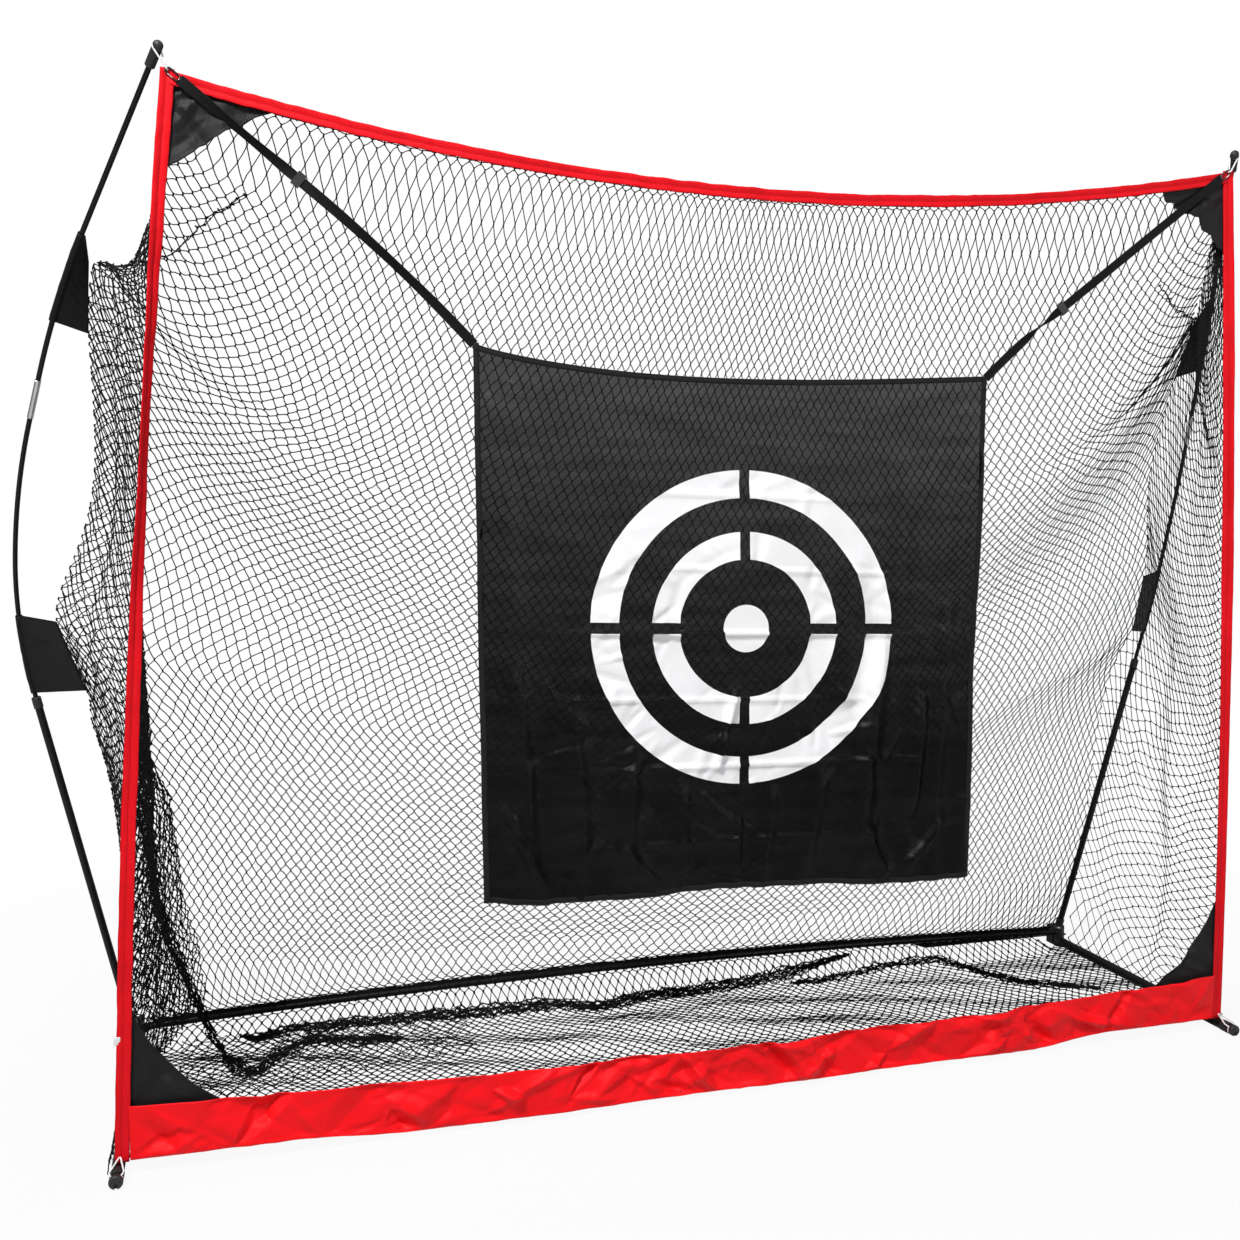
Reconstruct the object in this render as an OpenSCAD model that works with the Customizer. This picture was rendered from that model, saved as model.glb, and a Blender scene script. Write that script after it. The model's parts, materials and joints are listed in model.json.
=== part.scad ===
// Golf chipping net: a mesh pocket held open by two bowed poles, with a hanging target sheet.
// Millimetres, +Z up. The mouth faces -Y and the origin is under the middle of the whole net.

/* [Footprint] */
// Half the distance between the two side bars
half_w = 1300; // [1100:5:1500]
// From the mouth's foot line back to the rear bar
depth = 660; // [560:5:760]
// How far the side bars stick out in front of the mouth
foot_out = 60; // [50:1:80]

/* [Side bars] */
// Outside diameter of a side bar
side_bar_d = 25; // [22:0.5:28]
// Wall of a side bar
side_bar_wall = 1.5; // [1:0.1:3]
// Height of a side bar's axis above the ground
side_bar_z = 16.8; // [16.8:0.1:20]
// Wall of the cap on a side bar's foot
foot_cap_wall = 1.1; // [0.8:0.1:1.3]
// Length of the cap on a side bar's foot
foot_cap_len = 42; // [38:1:50]

/* [Rear bar] */
// Outside diameter of the rear bar
rear_bar_d = 17.5; // [16:0.5:20]
// Wall of the rear bar
rear_bar_wall = 1.2; // [1:0.1:2]
// Height of the rear bar's axis at the corners
rear_bar_z = 43; // [43:0.5:50]
// Rise of the rear bar's arch at its middle
rear_bar_rise = 30; // [20:1:60]
// Length of a spigot that joins two lengths of the rear bar
spigot_len = 100; // [60:2:140]

/* [Poles] */
// Outside diameter of the pole's lower tube
pole_tube_d = 17.5; // [16:0.5:20]
// Wall of the pole's lower tube
pole_tube_wall = 1.25; // [1:0.05:2]
// Length of the pole's lower tube
pole_tube_len = 857; // [820:1:900]
// Diameter of the bent rods
rod_d = 10.4; // [9:0.1:12]
// Length of the lower rod's strong bend
bend_a_len = 340; // [320:1:360]
// Radius of the lower rod's strong bend
bend_a_r = 849; // [800:1:900]
// Length of the lower rod's easy bend
bend_b_len = 340; // [320:1:360]
// Radius of the lower rod's easy bend
bend_b_r = 1374; // [1300:2:1500]
// Length of the ferrule between the rods
ferrule_len = 90; // [70:1:110]
// Wall of the ferrule
ferrule_wall = 1; // [0.8:0.1:1.5]
// Length of the upper rod's bend
bend_c_len = 360; // [340:1:380]
// Radius of the upper rod's bend
bend_c_r = 1888; // [1800:2:2000]
// Length of the pole's straight end
pole_end_len = 401; // [380:1:420]
// Lean of the lower tube from upright
pole_lean = 13.4; // [12:0.1:15]
// Way the lower tube leans, from straight out towards the front
pole_lean_dir = 23.7; // [20:0.1:28]
// Way the bends turn, measured round from straight out
pole_bend_dir = 223.9; // [220:0.1:228]
// Length of the cap on the pole's tip
cap_len = 52; // [46:1:60]
// Diameter of the cap on the pole's tip
cap_d = 19; // [17:0.5:21]

/* [Bands] */
// Width of the bands round the mouth
band_w = 24; // [18:1:30]
// Thickness of the bands
band_t = 2.4; // [1.5:0.1:3]
// Outward bow of the side bands
band_bow = 15; // [5:1:25]
// Sag of the top band
top_sag = 118; // [80:1:150]
// Height of the skirt at its ends
skirt_h = 113; // [90:1:130]
// Depth of the skirt's gathers
skirt_wave = 6; // [2:0.5:8]

/* [Net] */
// Width of a strand
strand_w = 5; // [3:0.5:8]
// Height of a strand
strand_h = 2.4; // [1.5:0.1:2.4]
// Slack of the back net towards the mouth
back_slack = 40; // [0:2:60]

/* [Target] */
// Sideways place of the target sheet's middle
sheet_x = -14; // [-20:1:20]
// Width of the target sheet
sheet_w = 1148; // [1000:2:1200]
// Drop of the target sheet
sheet_h = 1146; // [1000:2:1200]
// Height of the sheet's top edge at its middle
sheet_top_z = 1616; // [1560:2:1660]
// Slope of the sheet's top edge
sheet_tilt = 1.4; // [0:0.1:3]
// Thickness of the target sheet
sheet_t = 1.6; // [1:0.1:2.5]
// Depth of the drapes at the sheet's foot
drape = 9; // [2:0.5:14]
// Width of the straps
strap_w = 20; // [15:1:25]
// Thickness of the straps
strap_t = 1.4; // [1:0.1:2]

/* [Hidden] */

LEFT = -1;
RIGHT = 1;

// clearances
seat = 0.3;       // between pieces that lie against each other
fit = 0.05;       // radial, between a rod or pin and its bore
plug_fit = 0.1;   // radial, between a spigot and the tube round it

// ---- pole centre line -------------------------------------------------------
pole_foot_out = 17;    // pole foot outside the side bar's line
pole_foot_back = 33;   // pole foot behind the rear bar's line
pole_foot_z = 27;
pole_foot = [half_w + pole_foot_out, depth + pole_foot_back, pole_foot_z];
clear_run = 10;        // straight run between a fitting's mouth and the next bend
// a bend that gives up a little of its length to straight runs and keeps its angle
function bend(d, r) = [d - clear_run, r * (d - clear_run) / d];
POLE = [[pole_tube_len + clear_run, 0], bend(bend_a_len, bend_a_r), bend(bend_b_len, bend_b_r),
        [ferrule_len + 2 * clear_run, 0], bend(bend_c_len, bend_c_r), [pole_end_len, 0]];
function start_of(i) = i < 1 ? 0 : start_of(i - 1) + POLE[i - 1][0];
pole_len = start_of(len(POLE));

// position and heading [x, z, angle] in the pole's own plane after a straight or an arc
function step(p, d, r) = r == 0
  ? [p[0] + d * sin(p[2]), p[1] + d * cos(p[2]), p[2]]
  : let (a = p[2] + d / r * 180 / PI)
    [p[0] + r * (cos(p[2]) - cos(a)), p[1] + r * (sin(a) - sin(p[2])), a];
function walk(s, i, p) = i == len(POLE) - 1 || s <= POLE[i][0]
  ? step(p, s, POLE[i][1])
  : walk(s - POLE[i][0], i + 1, step(p, POLE[i][0], POLE[i][1]));
function pole_at(s) = walk(s, 0, [0, 0, 0]);

function turn_y(v, a) = [v[0] * cos(a) + v[2] * sin(a), v[1], v[2] * cos(a) - v[0] * sin(a)];
function turn_z(v, a) = [v[0] * cos(a) - v[1] * sin(a), v[0] * sin(a) + v[1] * cos(a), v[2]];
pole_spin = pole_bend_dir + pole_lean_dir;
function pole_turn(v) = turn_z(turn_y(turn_z(v, pole_spin), pole_lean), -pole_lean_dir);
function pole_xyz(s) = let (p = pole_at(s)) pole_foot + pole_turn([p[0], 0, p[1]]);
function pole_axis(s) = let (a = pole_at(s)[2]) pole_turn([sin(a), 0, cos(a)]);

module on_pole(s) {
  p = pole_at(s);
  translate(pole_foot) rotate([0, 0, -pole_lean_dir]) rotate([0, pole_lean, 0])
    rotate([0, 0, pole_spin]) translate([p[0], 0, p[1]]) rotate([0, p[2], 0]) children();
}

// carries a round profile along the pole's line from s0 to s1
module pole_run(s0, s1) {
  for (i = [0 : len(POLE) - 1]) {
    a = max(s0, start_of(i));
    b = min(s1, start_of(i + 1));
    if (b - a > 0.01) on_pole(a) pole_piece(b - a, POLE[i][1]) children();
  }
}
module pole_piece(d, r) {
  if (r == 0) linear_extrude(height = d) children();
  else translate([r, 0, 0]) rotate([0, 0, 180]) rotate([90, 0, 0])
    rotate_extrude(angle = d / r * 180 / PI, $fn = 400) translate([r, 0]) children();
}

// ---- frame of the whole ------------------------------------------------------
bracket_rear = 46;     // rear face of a corner bracket behind the rear bar's line
head_r = cap_d / 2;
front_y = pole_xyz(pole_len - head_r)[1] - head_r;
mid_y = (front_y + depth + bracket_rear) / 2;

module place(side = RIGHT) {
  translate([0, -mid_y, 0]) if (side == LEFT) mirror([1, 0, 0]) children(); else children();
}

// ---- mouth -------------------------------------------------------------------
tip = pole_xyz(pole_len);
ring_drop = 46;        // the hook's wire hangs this far under the pole's tip
ring_in = 9;
corner = [tip[0] - ring_in, tip[1] + 3, tip[2] - ring_drop];  // where each elastic meets its hook
band_top_z = corner[2] - 2;
mouth_lean = atan2(-corner[1] - 4, corner[2]);
function mouth_y(z) = -z * tan(mouth_lean);
foot_in = 8;
band_foot = [half_w - foot_in, 32];
band_head = [corner[0] - 2, band_top_z];
function band_x(z) = let (t = (z - band_foot[1]) / (band_head[1] - band_foot[1]))
  band_foot[0] + (band_head[0] - band_foot[0]) * t + 4 * band_bow * t * (1 - t);
top_end = [band_head[0] - band_w / 2 - 3, band_top_z - band_w / 2 - 2];
top_arc_r = (top_end[0] * top_end[0] + top_sag * top_sag) / (2 * top_sag);
function top_z(x) = top_end[1] - top_sag + top_arc_r - sqrt(top_arc_r * top_arc_r - x * x);

module mouth_plane() { rotate([mouth_lean, 0, 0]) children(); }

// sweeps a profile along an arc from p to q in the XZ plane, bowed to the right of the way
module arc_bar(p, q, bow, from = 0, to = 1) {
  c = norm(q - p);
  r = (c * c / 4 + bow * bow) / (2 * bow);
  half = asin(c / 2 / r);
  m = atan2(p[0] - q[0], q[1] - p[1]);
  mid = (p + q) / 2 - (r - bow) * [cos(m), sin(m)];
  translate([mid[0], 0, mid[1]]) rotate([90, 0, 0]) rotate([0, 0, m - half + 2 * half * from])
    rotate_extrude(angle = 2 * half * (to - from), $fn = 3600) translate([r, 0]) children();
}

module bar_section(d, wall) {
  difference() {
    circle(d = d, $fn = 48);
    circle(d = d - 2 * wall, $fn = 48);
  }
}

// ---- rear bar and corners ------------------------------------------------------
rear_end_x = half_w - 14.3;
rear_arc_r = (rear_end_x * rear_end_x + rear_bar_rise * rear_bar_rise) / (2 * rear_bar_rise);
rear_slope = asin(rear_end_x / rear_arc_r);
function rear_z(x) = rear_bar_z + rear_bar_rise - rear_arc_r + sqrt(rear_arc_r * rear_arc_r - x * x);
module rear_arc(from, to) {
  translate([0, depth, 0])
    arc_bar([rear_end_x, rear_bar_z], [-rear_end_x, rear_bar_z], rear_bar_rise, from, to) children();
}
butt = 0.0001;         // share of the arc left open where two lengths meet
module rear_bar(from, to) {
  color("#1b1b1d") rear_arc(from + butt, to - butt) bar_section(rear_bar_d, rear_bar_wall);
}
module rear_bar_spigots() {
  share = spigot_len / 2 / (2 * rear_arc_r * rear_slope * PI / 180);
  color("#6f7276") for (joint = [1 / 3, 2 / 3])
    rear_arc(joint - share, joint + share)
      bar_section(rear_bar_d - 2 * rear_bar_wall - 2 * plug_fit, rear_bar_wall);
}

eye_r = side_bar_d / 2;
pin_r = 4;
ear_t = 4;
ear_r = eye_r + 0.5;
ear_top_z = side_bar_z + eye_r + seat;
hub_top_z = rear_bar_z + rear_bar_d / 2 + 2;
socket_wall = 2.6;
socket_h = 45;
block_front = 14.5;
module corner_bracket() {
  socket_r = pole_tube_d / 2 + fit + socket_wall;
  color("#202022") difference() {
    union() {
      translate([half_w, depth, 0]) {
        cylinder(r = ear_r, h = ear_t - seat, $fn = 64);
        translate([0, 0, ear_top_z]) cylinder(r = ear_r, h = hub_top_z - ear_top_z, $fn = 64);
        translate([-10, 0, 0]) cube([36, bracket_rear, ear_t - seat]);
        translate([-10, 0, ear_top_z]) cube([36, bracket_rear, ear_t]);
        translate([-10, block_front, 0]) cube([40, bracket_rear - block_front, hub_top_z]);
      }
      translate([rear_end_x, depth, rear_bar_z]) rotate([0, -90 + rear_slope, 0]) {
        translate([0, 0, -10]) cylinder(d = rear_bar_d, h = 10 - seat, $fn = 48);
        translate([0, 0, -10])
          cylinder(r = rear_bar_d / 2 - rear_bar_wall - plug_fit, h = 60, $fn = 48);
      }
      on_pole(0) translate([0, 0, -12]) cylinder(r = socket_r, h = socket_h + 12, $fn = 64);
    }
    on_pole(0) cylinder(r = pole_tube_d / 2 + fit, h = socket_h + 1, $fn = 64);
    translate([half_w, depth, -1]) cylinder(r = pin_r + fit, h = hub_top_z + 2, $fn = 48);
    translate([half_w - 60, depth - 60, -30]) cube([160, 160, 30]);
  }
}
module fold_pin() {
  color("#8c8f93") translate([half_w, depth, 0.5]) {
    cylinder(r = pin_r, h = hub_top_z, $fn = 48);
    translate([0, 0, hub_top_z - 0.2]) cylinder(r1 = pin_r + 2, r2 = pin_r, h = 3, $fn = 48);
  }
}

foot_end_y = -foot_out;
tube_end_y = foot_end_y + 22;
eye_plug = 30;
module side_bar() {
  color("#1b1b1d") translate([half_w, tube_end_y, side_bar_z]) rotate([-90, 0, 0])
    linear_extrude(height = depth - eye_r - 6 - tube_end_y) bar_section(side_bar_d, side_bar_wall);
}
module side_bar_eye() {
  plug_r = side_bar_d / 2 - side_bar_wall - plug_fit;
  color("#202022") difference() {
    translate([half_w, depth, side_bar_z]) {
      translate([0, 0, ear_t - side_bar_z]) cylinder(r = eye_r, h = side_bar_z + eye_r - ear_t, $fn = 64);
      rotate([90, 0, 0]) {
        intersection() {
          cylinder(r = eye_r, h = eye_r + 6 - seat / 3, $fn = 64);
          translate([-eye_r, ear_t - side_bar_z, 0])
            cube([2 * eye_r, side_bar_z + eye_r - ear_t, eye_r + 6]);
        }
        cylinder(r = plug_r, h = eye_r + 6 + eye_plug, $fn = 64);
      }
    }
    translate([half_w, depth, -1]) cylinder(r = pin_r + fit, h = 60, $fn = 48);
  }
}
foot_groove_w = 9.8;    // the neck behind the cap's nose
foot_groove_r = 9.8;
foot_groove_y = foot_end_y + 13;
foot_groove_lead = 2.8; // groove in front of the elastic's middle
module foot_cap() {
  r = side_bar_d / 2 + plug_fit / 2 + foot_cap_wall;
  color("#202022") translate([half_w, foot_end_y, side_bar_z]) rotate([-90, 0, 0]) difference() {
    rotate_extrude($fn = 64) difference() {
      cap_profile(r);
      translate([foot_groove_r, foot_groove_y - foot_end_y - foot_groove_lead])
        square([r, foot_groove_w]);
      translate([-1, tube_end_y - foot_end_y - seat])
        square([side_bar_d / 2 + plug_fit / 2 + 1, foot_cap_len]);
    }
    translate([-2.5, 2, -1]) cube([5, r, 9]);
  }
}
// half profile of a cap with a rounded nose
module cap_profile(r) {
  nose = 4;
  translate([0, nose]) square([r, foot_cap_len - nose]);
  square([r - nose, nose]);
  translate([r - nose, nose]) intersection() {
    circle(r = nose, $fn = 32);
    translate([0, -nose]) square(nose);
  }
}

// ---- poles ---------------------------------------------------------------------
rod_in_tube = 60;
s_collar = pole_tube_len;
s_ferrule = start_of(len(POLE) - 3) + clear_run;    // the ferrule's run is the third from the end
s_joint = s_ferrule + ferrule_len / 2;
rod_in_cap = 28;
collar_top = 6;
module pole_tube() {
  color("#1b1b1d") pole_run(0, pole_tube_len) bar_section(pole_tube_d, pole_tube_wall);
}
module tube_collar() {
  bore_r = rod_d / 2 + fit;
  out_r = pole_tube_d / 2 + plug_fit + 1.6;
  in_r = pole_tube_d / 2 - pole_tube_wall - plug_fit;
  color("#202022") on_pole(s_collar - 0.01) rotate_extrude($fn = 64) difference() {
    union() {
      translate([bore_r, -25]) square([in_r - bore_r, 26]);
      translate([bore_r, plug_fit]) square([out_r - bore_r, collar_top - plug_fit]);
      translate([pole_tube_d / 2 + plug_fit, -20]) square([1.6, 21]);
    }
    translate([out_r, collar_top]) rotate(45) square(2.4, center = true);
  }
}
// bent rod from s0 to s1, with a faint swage ring where a bend starts or ends
module rod(s0, s1) {
  ring_half = 2;
  color("#1b1b1d") {
    pole_run(s0, s1) circle(d = rod_d, $fn = 32);
    for (i = [1 : len(POLE) - 1]) if (start_of(i) > s0 + ring_half && start_of(i) < s1 - ring_half)
      on_pole(start_of(i)) cylinder(d = rod_d + 0.1, h = 2 * ring_half, center = true, $fn = 32);
  }
}
module rod_lower() { rod(s_collar - rod_in_tube, s_joint - plug_fit); }
module rod_upper() { rod(s_joint + plug_fit, pole_len - cap_len + rod_in_cap); }
module ferrule() {
  out_r = rod_d / 2 + fit + ferrule_wall;
  color("#c9ccd0") on_pole(s_ferrule) rotate_extrude($fn = 48) difference() {
    translate([rod_d / 2 + fit, 0]) square([ferrule_wall, ferrule_len]);
    for (z = [0, ferrule_len]) translate([out_r, z]) rotate(45) square(0.7, center = true);
  }
}

elastic_d = 3.2;
groove_r = head_r - 2.4;
s_groove = pole_len - 15;
// the corner seen from the groove: along the pole, across it, and the way round it
to_corner = corner - pole_xyz(s_groove);
groove_axis = pole_axis(s_groove);
corner_along = to_corner * groove_axis;
corner_across = to_corner - corner_along * groove_axis;
groove_tilt = atan2(-corner_along, norm(corner_across));
groove_x = pole_turn(let (a = pole_at(s_groove)[2]) [cos(a), 0, -sin(a)]);
groove_side = pole_turn([0, 1, 0]);
corner_round = atan2(corner_across * groove_side, corner_across * groove_x);
module pole_cap() {
  bore_r = rod_d / 2 + fit;
  color("#202022") difference() {
    union() {
      on_pole(pole_len - cap_len) rotate_extrude($fn = 64) difference() {
        translate([0, 0]) square([head_r, cap_len - head_r]);
        translate([head_r, 0]) rotate(45) square(2, center = true);
      }
      on_pole(pole_len - head_r) sphere(r = head_r, $fn = 64);
    }
    on_pole(pole_len - cap_len - 1) cylinder(r = bore_r, h = rod_in_cap + 1, $fn = 48);
    on_pole(s_groove) rotate([0, 0, corner_round]) rotate([0, groove_tilt, 0])
      rotate_extrude($fn = 64) translate([groove_r, -elastic_d / 2 - 0.4])
        square([10, elastic_d + 0.8]);
  }
}

// ---- cords and cloth ----------------------------------------------------------
function unit(v) = v / norm(v);
function mix(a, b, t) = a + (b - a) * t;
function ease(t) = let (u = min(1, max(0, t))) u * u * (3 - 2 * u);

// closed round cord through a ring of points that lie nearly in one plane
module cord_loop(points, d, plane_normal, sides = 8) {
  n = len(points);
  verts = [for (i = [0 : n - 1])
    let (way = unit(points[(i + 1) % n] - points[(i + n - 1) % n]),
         out = unit(cross(way, plane_normal)), up = cross(out, way))
    for (k = [0 : sides - 1])
      points[i] + d / 2 * (out * cos(360 * k / sides) + up * sin(360 * k / sides))];
  faces = [for (i = [0 : n - 1], k = [0 : sides - 1])
    let (j = (i + 1) % n, l = (k + 1) % sides,
         a = i * sides + k, b = i * sides + l, c = j * sides + l, e = j * sides + k)
    each [[a, b, c], [a, c, e]]];
  polyhedron(verts, faces);
}

hook_wire = 3;
// frame of a hook and strap: up along the strap to the corner, flat side towards the front
hem_wrap = 0.8;
strap_rise = 0.4 * strap_w + hem_wrap + 2 * seat;   // strap's lower end clear of the sheet's hem
function strap_low(side) = [sheet_w / 2 * cos(sheet_tilt) - strap_w / 2 + side * sheet_x,
                            sheet_y,
                            sheet_top_z - side * (sheet_w / 2) * sin(sheet_tilt) + strap_rise];
sheet_y = mouth_y(sheet_top_z) + 7;
function strap_way(side) = unit(corner - strap_low(side));
hook_len = 28;         // from the strap's end to the middle of the hook's top wire
function strap_high(side) = corner - hook_len * strap_way(side);

module along(p, way) {
  translate(p) rotate([0, atan2(norm([way[0], way[1]]), way[2]), atan2(way[1], way[0])]) children();
}
function along_y(way) = unit([-way[1], way[0], 0]);

module top_elastic(side) {
  way = strap_way(side);
  flat = along_y(way);
  bight_r = hook_wire / 2 + elastic_d / 2 + seat;
  groove = pole_xyz(s_groove);
  away = -unit(to_corner);
  across = unit(cross(away, groove_axis));
  turn_r = groove_r + elastic_d / 2 + seat;
  lean = across * flat < 0 ? -1 : 1;
  low = [for (a = [-90 : 30 : 90]) corner + bight_r * (-way * cos(a) + flat * lean * sin(a))];
  high = [for (a = [90 : -20 : -90]) groove + turn_r * (away * cos(a) + across * sin(a))];
  color("#f2f2ee") cord_loop(concat(low, high), elastic_d, cross(away, across));
}
module foot_elastic() {
  leave = 50;          // angle from the cap's top at which the loop leaves the groove
  step = (360 - 2 * leave) / 10;
  turn_r = (foot_groove_r + elastic_d / 2 + seat) / cos(step / 2);
  side_r = side_bar_d / 2 + foot_cap_wall + elastic_d / 2 + seat + 2;
  start = [half_w - 4, -6.5, band_foot[1] + 8];
  low = [for (i = [0 : 10]) let (a = leave + i * step)
    [half_w + turn_r * sin(a), foot_groove_y, side_bar_z + turn_r * cos(a)]];
  function shoulder(s) =
    [half_w + s * side_r * sin(leave), foot_groove_y + 9, side_bar_z + side_r * cos(leave)];
  top = [for (a = [-90 : 45 : 90]) start + 2.1 * [sin(a), cos(a) * 0.9, cos(a) * 0.2]];
  color("#f2f2ee")
    cord_loop(concat([shoulder(-1)], top, [shoulder(1)], low), elastic_d, [0, 0.45, -0.9]);
}

// lattice of strands over a grid of points: a ridge along every grid line, a gap in every cell
module lattice(grid, up) {
  rows = len(grid);
  cols = len(grid[0]);
  nodes = rows * cols;
  function at(r, c) = r * cols + c;
  function hole(r, c, k) = 2 * nodes + 4 * (r * (cols - 1) + c) + k;
  verts = concat(
    [for (row = grid, p = row) p + up * strand_h],
    [for (row = grid, p = row) p],
    [for (r = [0 : rows - 2], c = [0 : cols - 2])
      let (a = grid[r][c], b = grid[r][c + 1], d = grid[r + 1][c + 1], e = grid[r + 1][c],
           wide = (norm(b - a) + norm(d - e)) / 2, tall = (norm(e - a) + norm(d - b)) / 2,
           u = min(0.35, strand_w / 2 / wide), v = min(0.35, strand_w / 2 / tall))
      for (k = [[u, v], [1 - u, v], [1 - u, 1 - v], [u, 1 - v]])
        mix(mix(a, b, k[0]), mix(e, d, k[0]), k[1])]);
  faces = [for (r = [0 : rows - 2], c = [0 : cols - 2])
    let (ring = [at(r, c), at(r, c + 1), at(r + 1, c + 1), at(r + 1, c)],
         edge = [r == 0, c == cols - 2, r == rows - 2, c == 0])
    for (k = [0 : 3])
      let (a = ring[k], b = ring[(k + 1) % 4], h = hole(r, c, k), g = hole(r, c, (k + 1) % 4))
      each concat(
        [[h, g, b], [h, b, a]],
        [[a + nodes, b + nodes, g], [a + nodes, g, h]],
        edge[k] ? [[a, b, b + nodes], [a, b + nodes, a + nodes]] : [])];
  polyhedron(verts, faces);
}

// ---- net surfaces ---------------------------------------------------------------
tab_low_half = 80;
tab_low_run = 90;              // half length of a lower tab's sleeve
tab_low_clear = [16, 89];      // sleeve's foot above the tube's collar, left and right
tab_low_z = [for (clear = tab_low_clear) pole_xyz(pole_tube_len)[2] + tab_low_run + clear];
tab_high_drop = [475, 343];    // foot and head of the upper pole tabs on the net, below the pole's tip
tab_high_z = [for (drop = tab_high_drop) tip[2] - drop];
function lower_tab_z(side) = tab_low_z[side == LEFT ? 0 : 1];
net_inset = 20;                // the net's rear corners stand this far in front of the rear bar
tab_out = 88;
tab_back = 98;
edge_foot_x = half_w + 10;
last_bend_s = start_of(len(POLE) - 2);
edge_pole = pole_xyz(last_bend_s + 150);
edge_head_x = edge_pole[0] - 38;
edge_head_y = edge_pole[1] + 4;
// the net's rear upright edge, drawn out and back to the lower tab
function away_from_tab(z, side) = max(0, abs(z - lower_tab_z(side)) - tab_low_half);
function edge_xy(z, side) =
  let (t = (z - 40) / (tab_high_z[0] - 40), d = away_from_tab(z, side),
       near_x = exp(-pow(d / (z < lower_tab_z(side) ? 170 : 300), 2)), near_y = exp(-pow(d / 440, 2)))
  [mix(edge_foot_x, edge_head_x, t) + tab_out * near_x,
   mix(depth - net_inset, edge_head_y, t) + tab_back * near_y, z];
ridge_foot = [edge_head_x - 32, edge_head_y - 56, tab_high_z[1]];
ridge_head = [band_head[0] - 6, mouth_y(band_top_z) + 14, band_top_z - 40];
ridge_mid_in = 84;
ridge_mid_drop = 97;           // middle of the net's upper edge under the upper tab's head
ridge_mid =
  [half_w - ridge_mid_in, (ridge_foot[1] + ridge_head[1]) / 2 - 4, tab_high_z[1] - ridge_mid_drop];
function ridge(t) = mix(mix(ridge_foot, ridge_mid, t), mix(ridge_mid, ridge_head, t), t);
ridge_rows = 3;
low_rows = 6;
mid_rows = 4;
// one point for each row of the net, from the floor to the corner
function edge_points(side) =
  let (lo = lower_tab_z(side) - tab_low_half, hi = lower_tab_z(side) + tab_low_half)
  concat(
    [for (i = [0 : low_rows]) edge_xy(mix(60, lo, i / low_rows), side)],
    [for (i = [0 : mid_rows]) edge_xy(mix(hi, tab_high_z[0], i / mid_rows), side)],
    [for (i = [0 : ridge_rows]) ridge(i / ridge_rows)]);

hem_h = 5;
back_foot_z = rear_bar_d / 2 + seat + hem_h + 1;
back_head_y = 9;               // the net's top row behind the top band's middle, and below it
back_head_drop = 12;
function back_foot(x) = [x, depth, rear_z(x) + back_foot_z];
function back_head(x) = [x, mouth_y(top_z(x)) + back_head_y, top_z(x) - back_head_drop];
// u runs from -1 to 1 across the back net and t from its foot to its head
function back_point(u, t, edge) =
  let (m = mix(back_foot(0), back_head(0), t),
       slack = back_slack * sin(180 * t) * (1 - u * u))
  t == 0 ? back_foot(u * (half_w - 30))
  : t == 1 ? back_head(u * top_end[0])
  : [u * edge[0], mix(m[1], edge[1], pow(abs(u), 3)) - slack, mix(m[2], edge[2], u * u)];
back_cols = 14;
module net_back() {
  left = edge_points(LEFT);
  right = edge_points(RIGHT);
  n = len(right) - 1;
  grid = [for (r = [0 : n]) let (t = r / n)
    [for (c = [0 : back_cols]) let (u = -1 + 2 * c / back_cols, edge = u < 0 ? left[r] : right[r])
      back_point(u, t, edge - [3, 0, 0])]];
  color("#101012") lattice(grid, [0, -1, 0]);
}
side_cols = 5;
wall_out = 19;         // foot of a wall net outside its side bar's axis
module net_side(side) {
  edge = edge_points(side);
  n = len(edge) - 1;
  floor_x = half_w + wall_out;
  low_z = strand_h + seat;
  grid = [for (r = [0 : n]) let (t = r / n, z = r == 0 ? low_z : mix(60, band_top_z - 70, t))
    let (front = [r == 0 ? floor_x : band_x(z), mouth_y(z) + 7, z],
         rear = r == 0 ? [floor_x, depth - net_inset - 2, low_z] : edge[r] + [2, 0, 0])
    [for (c = [0 : side_cols]) mix(front, rear, c / side_cols)]];
  color("#101012") lattice(grid, [1, 0, 0]);
}
floor_cols = 14;
floor_hem_half = 760;          // the floor net is sewn to the skirt this far from the middle
floor_hem_run = 180;
floor_rows = 4;
module net_floor() {
  front = 6;
  rear = depth - net_inset - 2;
  floor_x = half_w + wall_out + 1;
  grid = [for (r = [0 : floor_rows]) [for (c = [0 : floor_cols])
    let (x = floor_x * (-1 + 2 * c / floor_cols),
         rise = r == 0 ? skirt_low(x) * (1 - ease((abs(x) - floor_hem_half) / floor_hem_run)) : 0)
    [x, mix(front, rear, r / floor_rows), rise]]];
  color("#101012") lattice(grid, [0, 0, 1]);
}

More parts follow.
